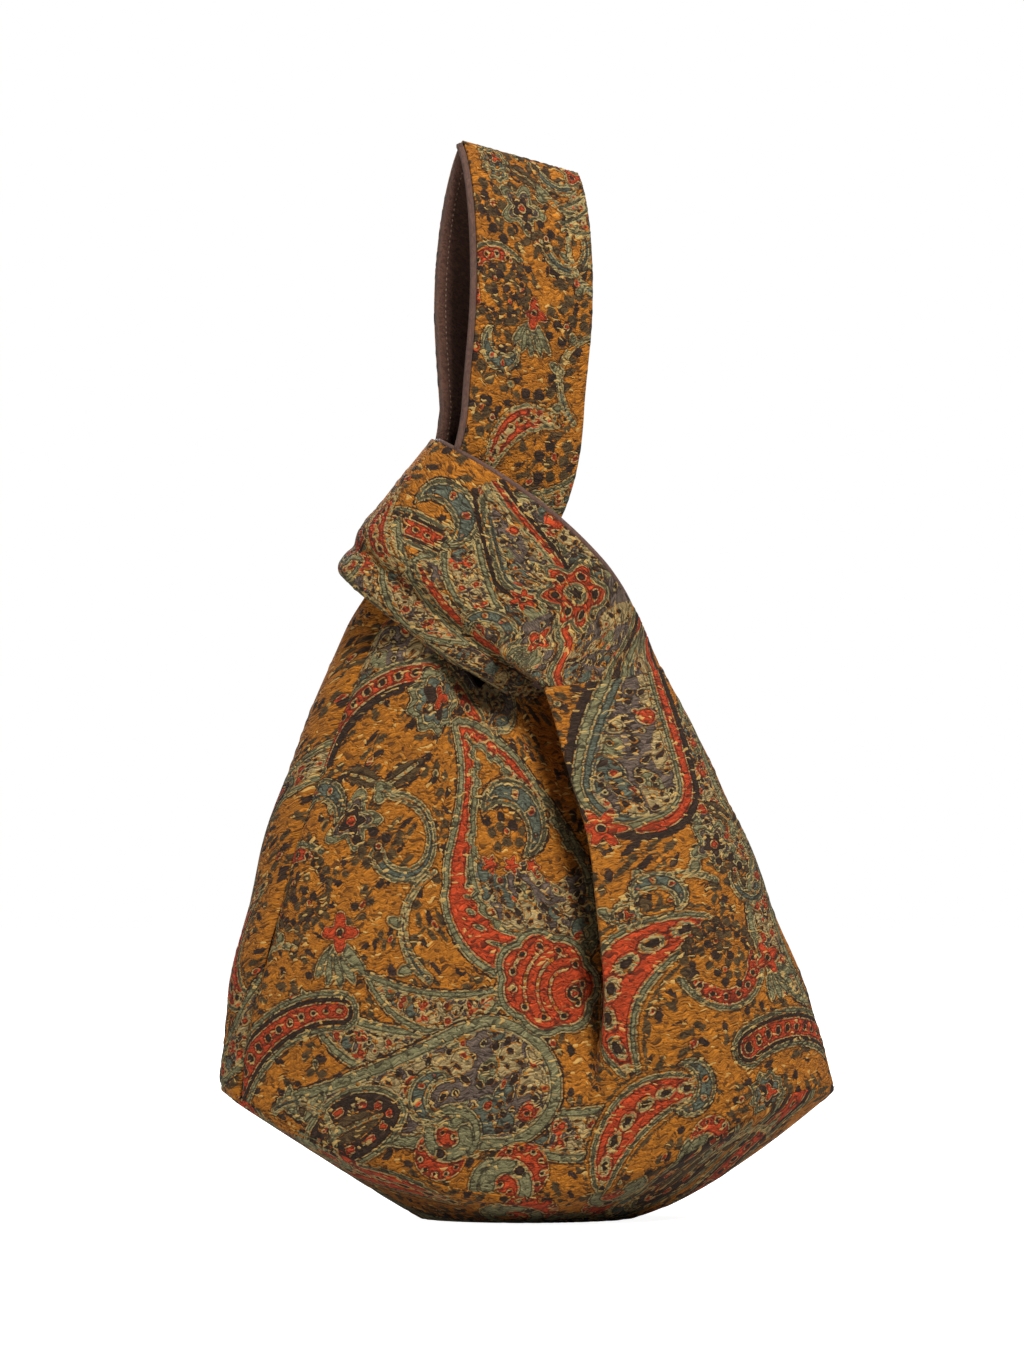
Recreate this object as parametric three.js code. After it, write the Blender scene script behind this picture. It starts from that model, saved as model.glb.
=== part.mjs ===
// Japanese knot bag: a soft sewn pouch with two unequal handle loops.
// The long loop is drawn through the short one, which closes the mouth as a collar.
// Millimetres, +Z up, front towards -Y, origin under the middle of the base.
import * as THREE from "three";

// Body, seen from the front
const BASE_LENGTH = 284;
const BASE_TIP_HEIGHT = 60;
const LEFT_SHOULDER_X = -82;
const LEFT_SHOULDER_Z = 275;
const LEFT_SEAM_BOW = 13;
const RIGHT_SHOULDER_X = 63;
const RIGHT_SHOULDER_Z = 257;
const RIGHT_SEAM_BOW = 8;
const FRONT_MOUTH_Z = 230;
const BACK_MOUTH_Z = 237;

// Body, seen from the side
const BELLY_DEPTH = 140;
const NECK_DEPTH = 68;
const DEPTH_TAPER_POWER = 1.45;
const BELLY_TUCK = 8;

// Base panel: a sagging dish with pointed ends and a flat patch to stand on
const BASE_SEAM_LOW_Z = 12;
const BASE_SEAM_POWER_LEFT = 2;
const BASE_SEAM_POWER_RIGHT = 4.5;
const BASE_FLAT_LENGTH = 96;
const BASE_FLAT_DEPTH = 64;
const BASE_SAG_POWER = 1.4;

// Pleat that runs from the mouth down the front
const PLEAT_TOP_X = -16;
const PLEAT_FOOT_X = 29;
const PLEAT_FOOT_Z = 70;
const PLEAT_POWER = 4;
const PLEAT_WIDTH = 17;
const PLEAT_DEPTH = 9;
const PLEAT_FULL_SHARE = 0.5;
const MOUTH_TUCK = 8;

// Cloth layers and the clearance between any two sewn pieces
const OUTER_THICKNESS = 1.4;
const INTERLINING_THICKNESS = 1.2;
const LINING_THICKNESS = 0.8;
const CLEARANCE = 0.3;
const PIPING_DIAMETER = 3.4;
const PIPING_CLEARANCE = 0.6;

// Where handles and mouth divide the top edge, as shares from left seam to right seam
const LEFT_ARMHOLE = 0.0625;
const MOUTH_LEFT = 0.375;
const MOUTH_RIGHT = 0.5625;
const RIGHT_ARMHOLE = 0.955;
const MOUTH_SLOPE = 0.0625;
const RIGHT_SHOULDER_RISE = 16;
const RIGHT_SHOULDER_POWER = 0.7;
const SEAM_SHARE = 0.15;

// Long handle: two arms rise from the left shoulder and join in the carry loop
const STRAP_WIDTH = 64;
const STRAP_TURN = THREE.MathUtils.degToRad(30);
const FOLD_X = -3.5;
const FOLD_Z = 382;
const FOLD_RADIUS = 6;
const LOOP_HEIGHT = 118;
const LOOP_HALF_GAP = 18;
const LOOP_PINCH_LENGTH = 9;
const LOOP_ARCH_HEIGHT = 40;
const LOOP_TOP_DROP = 10;
const LOOP_LEAN = 8;
const ARM_LOWER_PULL = 14;
const ARM_UPPER_PULL = 42;

// Short handle: leaves the right shoulder, wraps the long handle and turns back at the left
const COLLAR_LOWER_BEND_X = -30;
const COLLAR_LOWER_BEND_Z = 258;
const COLLAR_UPPER_BEND_X = 42;
const COLLAR_UPPER_BEND_Z = 318;
const COLLAR_LOWER_TIP_X = -86;
const COLLAR_LOWER_TIP_Z = 306;
const COLLAR_UPPER_TIP_X = -43;
const COLLAR_UPPER_TIP_Z = 362;
const COLLAR_LOWER_DEPTH = 82;
const COLLAR_UPPER_DEPTH = 70;
const COLLAR_OPENING_SHARE = 0.4;
const COLLAR_TURN_START = 0.8;
const COLLAR_TURN_POWER = 0.65;
const COLLAR_PIPING_TRIM = 0.04;

// Facets
const PANEL_COLUMNS = 16;
const PANEL_ROWS = 9;
const BASE_RINGS = 4;
const ARM_COLUMNS = 4;
const ARM_ROWS = 7;
const LOOP_COLUMNS = 3;
const LOOP_ROWS = 28;
const COLLAR_COLUMNS = 5;
const COLLAR_ROWS = 24;
const PIPING_SIDES = 8;

// Small steps, as shares of a surface, that find its direction
const PROBE = 1e-3;
const EDGE_PROBE = 0.05;

const FRONT = -1;
const BACK = 1;
const { lerp, smoothstep } = THREE.MathUtils;

// Cloth layers from outside to inside; depth is measured in from the outer face
const layers = [
  { name: "outer", thickness: OUTER_THICKNESS },
  { name: "interlining", thickness: INTERLINING_THICKNESS },
  { name: "lining", thickness: LINING_THICKNESS },
];
let strapThickness = -CLEARANCE;
for (const layer of layers) {
  layer.from = strapThickness + CLEARANCE;
  layer.to = layer.from + layer.thickness;
  strapThickness = layer.to;
}

const materials = {
  outer: new THREE.MeshStandardMaterial({ color: 0xb07a34, roughness: 0.9, metalness: 0 }),
  interlining: new THREE.MeshStandardMaterial({ color: 0xd8d2c2, roughness: 0.95, metalness: 0 }),
  lining: new THREE.MeshStandardMaterial({ color: 0x422c23, roughness: 0.85, metalness: 0 }),
  piping: new THREE.MeshStandardMaterial({ color: 0x6c5046, roughness: 0.8, metalness: 0 }),
};

// A closed solid between two grids of points with the same rows and columns.
// When wrap is set, the last column joins the first; a first row of one point is a pole.
function solidBetween(outside, inside, wrap = false) {
  const rows = outside.length;
  const columns = outside[0].length;
  const points = [...outside.flat(), ...inside.flat()];
  const triangles = [];
  const quad = (a, b, c, d) => triangles.push(a, b, c, a, c, d);
  const at = (side, row, column) => (side * rows + row) * columns + (column % columns);
  const steps = wrap ? columns : columns - 1;
  const isPole = outside[0].every((point) => point.distanceTo(outside[0][0]) < PROBE);
  for (let row = 0; row < rows - 1; row++) {
    for (let i = 0; i < steps; i++) {
      if (row === 0 && isPole) {
        triangles.push(at(0, 0, 0), at(0, 1, i + 1), at(0, 1, i));
        triangles.push(at(1, 0, 0), at(1, 1, i), at(1, 1, i + 1));
        continue;
      }
      quad(at(0, row, i), at(0, row, i + 1), at(0, row + 1, i + 1), at(0, row + 1, i));
      quad(at(1, row, i), at(1, row + 1, i), at(1, row + 1, i + 1), at(1, row, i + 1));
    }
    if (!wrap) {
      const last = columns - 1;
      quad(at(0, row, 0), at(0, row + 1, 0), at(1, row + 1, 0), at(1, row, 0));
      quad(at(0, row, last), at(1, row, last), at(1, row + 1, last), at(0, row + 1, last));
    }
  }
  for (let i = 0; i < steps; i++) {
    const last = rows - 1;
    if (!isPole) {
      quad(at(0, 0, i), at(1, 0, i), at(1, 0, i + 1), at(0, 0, i + 1));
    }
    quad(at(0, last, i), at(0, last, i + 1), at(1, last, i + 1), at(1, last, i));
  }
  const geometry = new THREE.BufferGeometry();
  geometry.setFromPoints(points);
  geometry.setIndex(triangles);
  return faceOutwards(geometry);
}

// Turns every triangle round if the enclosed volume comes out negative
function faceOutwards(geometry) {
  const position = geometry.getAttribute("position");
  const index = geometry.getIndex();
  const corner = [new THREE.Vector3(), new THREE.Vector3(), new THREE.Vector3()];
  let volume = 0;
  for (let i = 0; i < index.count; i += 3) {
    corner.forEach((point, k) => point.fromBufferAttribute(position, index.getX(i + k)));
    volume += corner[0].dot(corner[1].clone().cross(corner[2]));
  }
  if (volume < 0) {
    index.array.reverse();
  }
  geometry.computeVertexNormals();
  return geometry;
}

// Samples a surface of (across, along, depth) on a grid at one depth
function grid(surface, columns, rows, depth) {
  const samples = [];
  for (let row = 0; row <= rows; row++) {
    const line = [];
    for (let column = 0; column <= columns; column++) {
      line.push(surface(column / columns, row / rows, depth));
    }
    samples.push(line);
  }
  return samples;
}

function layerMesh(name, layer, surface, columns, rows) {
  const outside = grid(surface, columns, rows, layer.from);
  const inside = grid(surface, columns, rows, layer.to);
  const mesh = new THREE.Mesh(solidBetween(outside, inside), materials[layer.name]);
  mesh.name = name;
  return mesh;
}

// A round cord through points, closed at both ends
function pipingMesh(name, points, steps) {
  const section = new THREE.Shape();
  const radius = PIPING_DIAMETER / 2;
  for (let i = 0; i < PIPING_SIDES; i++) {
    const angle = (2 * Math.PI * i) / PIPING_SIDES;
    const [x, y] = [radius * Math.cos(angle), radius * Math.sin(angle)];
    if (i === 0) {
      section.moveTo(x, y);
    } else {
      section.lineTo(x, y);
    }
  }
  const extrudePath = new THREE.CatmullRomCurve3(points);
  const geometry = new THREE.ExtrudeGeometry(section, { steps, extrudePath, bevelEnabled: false });
  const mesh = new THREE.Mesh(geometry, materials.piping);
  mesh.name = name;
  return mesh;
}

// A strap surface: moves a point of the face inwards along its normal, which is square to
// across and along. Close to the sewn ends it moves as the cloth of the body there does.
function strapSurface(face, seamShift) {
  const clamp = (value) => THREE.MathUtils.clamp(value, 0, 1);
  return (across, along, depth) => {
    const acrossStep = face(clamp(across + PROBE), along).sub(face(clamp(across - PROBE), along));
    const alongStep = face(across, clamp(along + PROBE)).sub(face(across, clamp(along - PROBE)));
    const free = alongStep.cross(acrossStep).normalize().multiplyScalar(depth);
    const { shift, distance } = seamShift(across, along, depth);
    const offset = shift.lerp(free, smoothstep(distance, 0, SEAM_SHARE));
    return face(across, along).add(offset);
  };
}

// How far a point on the top edge of the body moves from the outer face to a given depth
function topEdgeShift(side, angle, depth) {
  const z = topEdgeZ(side, angle) + CLEARANCE;
  return bodyPoint(side, angle, z, depth).sub(bodyPoint(side, angle, z, 0));
}

// Body surface

// Side seam seen from the front: a chord from base tip to shoulder, bowed outwards
function sideSeam(direction, shoulderX, shoulderZ, bow, z) {
  const share = Math.max(0, (z - BASE_TIP_HEIGHT) / (shoulderZ - BASE_TIP_HEIGHT));
  const chord = lerp((direction * BASE_LENGTH) / 2, shoulderX, share);
  return chord + direction * 4 * bow * share * (1 - share);
}

const leftSeam = (z) => sideSeam(-1, LEFT_SHOULDER_X, LEFT_SHOULDER_Z, LEFT_SEAM_BOW, z);
const rightSeam = (z) => sideSeam(1, RIGHT_SHOULDER_X, RIGHT_SHOULDER_Z, RIGHT_SEAM_BOW, z);

// Half depth from the middle to the front: fullest at the base tips, tapering to the neck
function halfDepth(z) {
  if (z < BASE_TIP_HEIGHT) {
    const below = (BASE_TIP_HEIGHT - z) / BASE_TIP_HEIGHT;
    return BELLY_DEPTH / 2 - BELLY_TUCK * below * below;
  }
  const share = (z - BASE_TIP_HEIGHT) / (LEFT_SHOULDER_Z - BASE_TIP_HEIGHT);
  return lerp(BELLY_DEPTH / 2, NECK_DEPTH / 2, Math.pow(share, DEPTH_TAPER_POWER));
}

// Height of the seam between base and panels: high at the tips, low in the middle
function baseSeamZ(angle) {
  const power = lerp(BASE_SEAM_POWER_LEFT, BASE_SEAM_POWER_RIGHT, (1 - Math.cos(angle)) / 2);
  const drop = BASE_TIP_HEIGHT - BASE_SEAM_LOW_Z;
  return BASE_TIP_HEIGHT - drop * Math.pow(Math.abs(Math.sin(angle)), power);
}

// Top edge of a panel: left shoulder, steep side down to the mouth, rise to the right shoulder
function topEdgeZ(side, angle) {
  const share = angle / Math.PI;
  const drop = smoothstep(share, MOUTH_LEFT, MOUTH_LEFT + MOUTH_SLOPE);
  const mouth = side === FRONT ? FRONT_MOUTH_Z : BACK_MOUTH_Z;
  const leftSide = lerp(LEFT_SHOULDER_Z, mouth, drop);
  const climb = smoothstep(share, MOUTH_RIGHT - MOUTH_SLOPE, MOUTH_RIGHT);
  const shoulder = Math.max(0, (share - MOUTH_RIGHT) / (1 - MOUTH_RIGHT));
  const low = RIGHT_SHOULDER_Z - RIGHT_SHOULDER_RISE;
  const rightSide = low + RIGHT_SHOULDER_RISE * Math.pow(shoulder, RIGHT_SHOULDER_POWER);
  return lerp(leftSide, rightSide, climb);
}

// How far the front is drawn in by the pleat and by the closed mouth above it
function frontTuck(x, z) {
  const share = Math.max(0, (z - PLEAT_FOOT_Z) / (FRONT_MOUTH_Z - PLEAT_FOOT_Z));
  const valleyX = lerp(PLEAT_FOOT_X, PLEAT_TOP_X, Math.pow(share, PLEAT_POWER));
  const across = (x - valleyX) / PLEAT_WIDTH;
  const pleat = PLEAT_DEPTH * smoothstep(share, 0, PLEAT_FULL_SHARE);
  const mouth = MOUTH_TUCK * smoothstep(share, PLEAT_FULL_SHARE, 1);
  return (pleat + mouth) * Math.exp(-across * across);
}

// A point of the body; angle runs from 0 at the left seam to PI at the right seam
function bodyPoint(side, angle, z, depth) {
  const left = leftSeam(z);
  const right = rightSeam(z);
  const halfLength = (right - left) / 2 - depth;
  const x = (left + right) / 2 - halfLength * Math.cos(angle);
  const tuck = side === FRONT ? frontTuck(x, z) : 0;
  const reach = halfDepth(z) - depth - CLEARANCE / 2 - tuck;
  return new THREE.Vector3(x, side * (CLEARANCE / 2 + reach * Math.sin(angle)), z);
}

function panelSurface(side, bottomDepth) {
  return (across, along, depth) => {
    const angle = across * Math.PI;
    const z = lerp(baseSeamZ(angle) + bottomDepth, topEdgeZ(side, angle), along);
    return bodyPoint(side, angle, z, depth);
  };
}

// Base dish: from the flat patch out to the seam, each layer inside the panel layer it meets
function baseRing(share, depth, layer) {
  const ring = [];
  for (let i = 0; i < 2 * PANEL_COLUMNS; i++) {
    const angle = (Math.PI * i) / PANEL_COLUMNS;
    const side = angle < Math.PI ? BACK : FRONT;
    const seamZ = baseSeamZ(angle);
    const rim = bodyPoint(side, side * angle, seamZ + layer.to, layer.to + CLEARANCE);
    const flatX = (-BASE_FLAT_LENGTH / 2) * Math.cos(angle);
    const flatY = (BASE_FLAT_DEPTH / 2) * Math.sin(angle);
    const z = seamZ * Math.pow(share, BASE_SAG_POWER) + depth;
    ring.push(new THREE.Vector3(lerp(flatX, rim.x, share), lerp(flatY, rim.y, share), z));
  }
  return ring;
}

function baseMesh(name, layer) {
  const face = (depth) => {
    const centre = new Array(2 * PANEL_COLUMNS).fill(new THREE.Vector3(0, 0, depth));
    const rings = [centre];
    for (let i = 0; i <= BASE_RINGS; i++) {
      rings.push(baseRing(i / BASE_RINGS, depth, layer));
    }
    return rings;
  };
  const geometry = solidBetween(face(layer.from), face(layer.to), true);
  const mesh = new THREE.Mesh(geometry, materials[layer.name]);
  mesh.name = name;
  return mesh;
}

// Long handle

const foldGroup = new THREE.Group();
foldGroup.position.set(FOLD_X, 0, FOLD_Z);
foldGroup.rotation.z = STRAP_TURN;
foldGroup.updateMatrixWorld();

// Arm: a cubic strip from the left shoulder to just under the fold of the carry loop.
// Across runs so that its face points outwards on both sides of the bag.
function armSurface(side) {
  const shoulderAngle = (across) => lerp(LEFT_ARMHOLE, MOUTH_LEFT, across) * Math.PI;
  const place = (across) => (side === FRONT ? across : 1 - across);
  const face = (across, along) => {
    const angle = shoulderAngle(place(across));
    const start = bodyPoint(side, angle, topEdgeZ(side, angle) + CLEARANCE, 0);
    const pinch = side * (strapThickness + CLEARANCE / 2);
    const x = (place(across) - 0.5) * STRAP_WIDTH;
    const end = new THREE.Vector3(x, pinch, -FOLD_RADIUS - CLEARANCE);
    end.applyMatrix4(foldGroup.matrixWorld);
    const lower = start.clone().add(new THREE.Vector3(0, 0, ARM_LOWER_PULL));
    const upper = end.clone().sub(new THREE.Vector3(0, 0, ARM_UPPER_PULL));
    return new THREE.CubicBezierCurve3(start, lower, upper, end).getPoint(along);
  };
  const seamShift = (across, along, depth) => {
    const shift = topEdgeShift(side, shoulderAngle(place(across)), depth);
    return { shift, distance: along };
  };
  return strapSurface(face, seamShift);
}

// Outline of one half of the carry loop in its own side view: pinched at the fold,
// spreading to the full gap and closing in an elliptic arch. Returns [out, up].
function loopOutline(share, depth) {
  const pinch = strapThickness + CLEARANCE / 2;
  const archStart = LOOP_HEIGHT - LOOP_ARCH_HEIGHT;
  const straightShare = archStart / LOOP_HEIGHT;
  if (share > straightShare) {
    const angle = ((share - straightShare) / (1 - straightShare)) * (Math.PI / 2);
    return [LOOP_HALF_GAP * Math.cos(angle), archStart + LOOP_ARCH_HEIGHT * Math.sin(angle)];
  }
  const foot = -Math.sqrt(FOLD_RADIUS ** 2 - (pinch - depth) ** 2);
  const up = lerp(foot, archStart, share / straightShare);
  return [lerp(pinch, LOOP_HALF_GAP, smoothstep(up, LOOP_PINCH_LENGTH, archStart)), up];
}

// Carry loop in the frame of its fold: across is -1 to 1 on the strap, along runs front to back
function loopPoint(across, along, depth) {
  const isFront = along <= 0.5;
  const side = isFront ? FRONT : BACK;
  const share = isFront ? 2 * along : 2 - 2 * along;
  const [out, up] = loopOutline(share, depth);
  const before = loopOutline(Math.max(0, share - PROBE), depth);
  const after = loopOutline(Math.min(1, share + PROBE), depth);
  const tangent = new THREE.Vector2(after[0] - before[0], after[1] - before[1]).normalize();
  const height = Math.max(0, up) / LOOP_HEIGHT;
  const drop = (LOOP_TOP_DROP * height * (1 + across)) / 2;
  const x = (across * STRAP_WIDTH) / 2 + LOOP_LEAN * height ** 2;
  return new THREE.Vector3(x, side * (out - depth * tangent.y), up + depth * tangent.x - drop);
}

const loopSurface = (across, along, depth) => loopPoint(2 * across - 1, along, depth);

// Short handle

const collarAngle = (across) => lerp(MOUTH_RIGHT, RIGHT_ARMHOLE, across) * Math.PI;
const lowerBend = new THREE.Vector2(COLLAR_LOWER_BEND_X, COLLAR_LOWER_BEND_Z);
const upperBend = new THREE.Vector2(COLLAR_UPPER_BEND_X, COLLAR_UPPER_BEND_Z);
const lowerTip = new THREE.Vector2(COLLAR_LOWER_TIP_X, COLLAR_LOWER_TIP_Z);
const upperTip = new THREE.Vector2(COLLAR_UPPER_TIP_X, COLLAR_UPPER_TIP_Z);

// Collar: seen from the front a quadratic curve from shoulder to tip, seen from above
// a strand that opens from the shoulder and turns round the tip to the back
function collarFace(across, along) {
  const isFront = along <= 0.5;
  const side = isFront ? FRONT : BACK;
  const share = isFront ? 2 * along : 2 - 2 * along;
  const angle = collarAngle(across);
  const start = bodyPoint(side, angle, topEdgeZ(side, angle) + CLEARANCE, 0);
  const bend = lowerBend.clone().lerp(upperBend, across);
  const tip = lowerTip.clone().lerp(upperTip, across);
  const curve = new THREE.QuadraticBezierCurve(new THREE.Vector2(start.x, start.z), bend, tip);
  const turn = Math.max(0, (share - COLLAR_TURN_START) / (1 - COLLAR_TURN_START)) * (Math.PI / 2);
  const straight = Math.min(share, COLLAR_TURN_START);
  const point = curve.getPoint(straight + (1 - COLLAR_TURN_START) * Math.sin(turn));
  const halfDepthHere = lerp(COLLAR_LOWER_DEPTH, COLLAR_UPPER_DEPTH, across) / 2;
  const opening = smoothstep(share, 0, COLLAR_OPENING_SHARE);
  const fullness = Math.pow(Math.cos(turn), COLLAR_TURN_POWER);
  const out = lerp(Math.abs(start.y), halfDepthHere, opening) * fullness;
  return new THREE.Vector3(point.x, side * out, point.y);
}

const collarSurface = strapSurface(collarFace, (across, along, depth) => {
  const side = along <= 0.5 ? FRONT : BACK;
  const shift = topEdgeShift(side, collarAngle(across), depth);
  return { shift, distance: Math.min(along, 1 - along) };
});

// Assembly

const knotBag = new THREE.Group();
const shortLoop = new THREE.Group();
knotBag.add(foldGroup, shortLoop);

const panelNames = { outer: "panel", interlining: "interlining", lining: "lining" };
for (const layer of layers) {
  const word = panelNames[layer.name];
  for (const [side, place] of [[FRONT, "front"], [BACK, "back"]]) {
    const panel = panelSurface(side, layer.from);
    knotBag.add(layerMesh(`${place}_${word}`, layer, panel, PANEL_COLUMNS, PANEL_ROWS));
    const arm = armSurface(side);
    knotBag.add(layerMesh(`long_handle_${place}_arm_${layer.name}`, layer, arm, ARM_COLUMNS, ARM_ROWS));
  }
  knotBag.add(baseMesh(`base_${word}`, layer));
  foldGroup.add(layerMesh(`carry_loop_${layer.name}`, layer, loopSurface, LOOP_COLUMNS, LOOP_ROWS));
  shortLoop.add(layerMesh(`short_loop_${layer.name}`, layer, collarSurface, COLLAR_COLUMNS, COLLAR_ROWS));
}

// Piping lies beside each strap edge, in the middle of the cloth's thickness
const pipingOffset = PIPING_DIAMETER / 2 + PIPING_CLEARANCE;
const pipingDepth = strapThickness / 2;

function pipingPath(surface, edge, rows, trim) {
  const points = [];
  for (let row = 0; row <= rows; row++) {
    const along = lerp(trim, 1 - trim, row / rows);
    const onEdge = surface(edge, along, pipingDepth);
    const before = surface(edge, Math.max(0, along - PROBE), pipingDepth);
    const tangent = surface(edge, Math.min(1, along + PROBE), pipingDepth).sub(before).normalize();
    const inner = edge === 0 ? EDGE_PROBE : 1 - EDGE_PROBE;
    const outward = onEdge.clone().sub(surface(inner, along, pipingDepth));
    outward.addScaledVector(tangent, -outward.dot(tangent)).normalize();
    points.push(onEdge.addScaledVector(outward, pipingOffset));
  }
  return points;
}

for (const [edge, place] of [[0, "left"], [1, "right"]]) {
  const points = pipingPath(loopSurface, edge, LOOP_ROWS, 0);
  foldGroup.add(pipingMesh(`carry_loop_piping_${place}`, points, LOOP_ROWS));
}
for (const [edge, place] of [[0, "lower"], [1, "upper"]]) {
  const points = pipingPath(collarSurface, edge, COLLAR_ROWS, COLLAR_PIPING_TRIM);
  shortLoop.add(pipingMesh(`short_loop_piping_${place}`, points, COLLAR_ROWS));
}

export default knotBag;
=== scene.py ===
# %% [markdown]
# # A knotted wrist bag in tapestry cloth
# The bag is a soft pouch with two unequal handles. The long handle is drawn through the short one,
# which grips it as a collar and closes the mouth. Each piece is a sheet of cloth or a sewn-in cord,
# so each is worked out as a surface of two parameters and laid over the solid that it stands for.

import bpy
import numpy as np
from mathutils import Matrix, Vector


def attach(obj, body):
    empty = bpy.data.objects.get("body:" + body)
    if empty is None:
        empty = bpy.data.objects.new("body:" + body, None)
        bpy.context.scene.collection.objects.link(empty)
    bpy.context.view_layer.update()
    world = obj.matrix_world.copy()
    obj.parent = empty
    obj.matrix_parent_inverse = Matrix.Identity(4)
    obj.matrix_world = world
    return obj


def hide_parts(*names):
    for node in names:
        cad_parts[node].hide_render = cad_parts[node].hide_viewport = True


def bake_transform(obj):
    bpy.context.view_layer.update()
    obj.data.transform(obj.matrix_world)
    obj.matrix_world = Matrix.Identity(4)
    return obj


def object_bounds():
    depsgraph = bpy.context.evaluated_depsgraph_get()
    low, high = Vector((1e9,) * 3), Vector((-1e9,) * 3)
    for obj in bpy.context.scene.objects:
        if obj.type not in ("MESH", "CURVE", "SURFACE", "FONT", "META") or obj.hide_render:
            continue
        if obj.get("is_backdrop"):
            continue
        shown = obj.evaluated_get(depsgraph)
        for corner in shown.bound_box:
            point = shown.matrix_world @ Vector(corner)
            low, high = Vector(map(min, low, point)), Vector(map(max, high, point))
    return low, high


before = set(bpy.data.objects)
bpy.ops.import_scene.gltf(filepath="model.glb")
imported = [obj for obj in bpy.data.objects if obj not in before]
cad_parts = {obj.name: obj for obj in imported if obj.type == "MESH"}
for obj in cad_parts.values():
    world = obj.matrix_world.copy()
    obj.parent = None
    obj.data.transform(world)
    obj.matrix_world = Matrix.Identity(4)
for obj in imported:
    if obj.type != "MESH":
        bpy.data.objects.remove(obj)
cad_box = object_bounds()
MM = 0.001
print("CAD box in millimetres:", [[round(value / MM) for value in corner] for corner in cad_box])

# %% [markdown]
# ## Camera
# The picture is taken from straight in front, so a long lens far away keeps the outline nearly
# free of perspective. The lens follows from the height of bag and margin that the picture shows.

# %% Camera
IMAGE_WIDTH, IMAGE_HEIGHT = 1024, 1365
VIEW_WIDTH = 476.3
VIEW_CENTRE_X, VIEW_CENTRE_Z = -6.0, 249.0
CAMERA_DISTANCE = 3400.0
SENSOR = 36.0

view_height = VIEW_WIDTH * IMAGE_HEIGHT / IMAGE_WIDTH
camera_data = bpy.data.cameras.new("camera")
camera_data.sensor_width = SENSOR
camera_data.lens = SENSOR * CAMERA_DISTANCE / view_height
camera = bpy.data.objects.new("camera", camera_data)
camera.location = (VIEW_CENTRE_X * MM, -CAMERA_DISTANCE * MM, VIEW_CENTRE_Z * MM)
camera.rotation_euler = (np.pi / 2, 0, 0)
bpy.context.scene.collection.objects.link(camera)
bpy.context.scene.camera = camera
print("lens in millimetres:", round(camera_data.lens))

# %% [markdown]
# ## Helpers for surfaces
# A piece could be modelled by hand, vertex by vertex. Here it is a formula on a grid of rows and
# columns, so numpy works out all points at once, and one function closes every sheet of cloth.

# %% Curves and grids
def lerp(a, b, share):
    """A value that goes evenly from a to b as share goes from 0 to 1."""
    return a + (b - a) * share


def smoothstep(value, low, high):
    """0 below low, 1 above high and 3 t^2 - 2 t^3 between them."""
    t = np.clip((value - low) / (high - low), 0, 1)
    return t * t * (3 - 2 * t)


def hump(value, centre, width):
    """A bell curve of height 1: exp(-((value - centre) / width)^2)."""
    return np.exp(-(((value - centre) / width) ** 2))


def grid(rows, columns):
    """Two arrays of shares from 0 to 1: across changes along a row, along from row to row."""
    return np.meshgrid(np.linspace(0, 1, columns + 1), np.linspace(0, 1, rows + 1))


def unit(vectors):
    """Vectors divided by their length."""
    return vectors / np.maximum(np.linalg.norm(vectors, axis=-1, keepdims=True), 1e-9)


def normals(points, softening=0):
    """Unit normals of a grid, the cross product of its two steps, averaged with their neighbours."""
    normal = unit(np.cross(np.gradient(points, axis=1), np.gradient(points, axis=0)))
    for _ in range(softening):
        wide = np.pad(normal, ((1, 1), (1, 1), (0, 0)), mode="edge")
        sides = wide[:-2, 1:-1] + wide[2:, 1:-1] + wide[1:-1, :-2] + wide[1:-1, 2:]
        normal = unit(normal + sides)
    return normal


def lengths(points, axis):
    """Length walked along a grid's rows or columns, from its first point."""
    steps = np.linalg.norm(np.diff(points, axis=axis), axis=-1)
    start = [(1, 0), (0, 0)] if axis == 0 else [(0, 0), (1, 0)]
    return np.pad(np.cumsum(steps, axis=axis), start)


# %% Meshes
def mesh_object(name, points, faces):
    """A smooth mesh from points in millimetres and arrays of triangles and quads."""
    mesh = bpy.data.meshes.new(name)
    corners = np.concatenate([face.ravel() for face in faces])
    counts = np.concatenate([np.full(len(face), face.shape[1]) for face in faces])
    mesh.vertices.add(len(points))
    mesh.vertices.foreach_set("co", (points * MM).astype(np.float32).ravel())
    mesh.loops.add(len(corners))
    mesh.loops.foreach_set("vertex_index", corners.astype(np.int32))
    mesh.polygons.add(len(counts))
    mesh.polygons.foreach_set("loop_start", (np.cumsum(counts) - counts).astype(np.int32))
    mesh.polygons.foreach_set("use_smooth", np.ones(len(counts), bool))
    mesh.update(calc_edges=True)
    mesh.validate()
    piece = bpy.data.objects.new(name, mesh)
    bpy.context.scene.collection.objects.link(piece)
    return piece


def store(piece, name, values):
    """Keeps one number, or one vector, for each vertex of a piece."""
    is_vector = values.ndim == 2
    attribute = piece.data.attributes.new(name, "FLOAT_VECTOR" if is_vector else "FLOAT", "POINT")
    attribute.data.foreach_set("vector" if is_vector else "value", values.astype(np.float32).ravel())


def grid_quads(index):
    """The quads of a grid of vertex numbers."""
    corners = [index[:-1, :-1], index[:-1, 1:], index[1:, 1:], index[1:, :-1]]
    return np.stack([corner.ravel() for corner in corners], 1)


def rim_faces(fine, coarse, stride):
    """Triangles between a finely and a coarsely divided edge, one fan for each coarse step."""
    half = stride // 2
    step = np.arange(len(fine) - 1)
    nearest = coarse[step // stride + (step % stride >= half)]
    fans = np.stack([fine[1:], fine[:-1], nearest], 1)
    middle = fine[half::stride][: len(coarse) - 1]
    return np.concatenate([fans, np.stack([middle, coarse[:-1], coarse[1:]], 1)])


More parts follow.
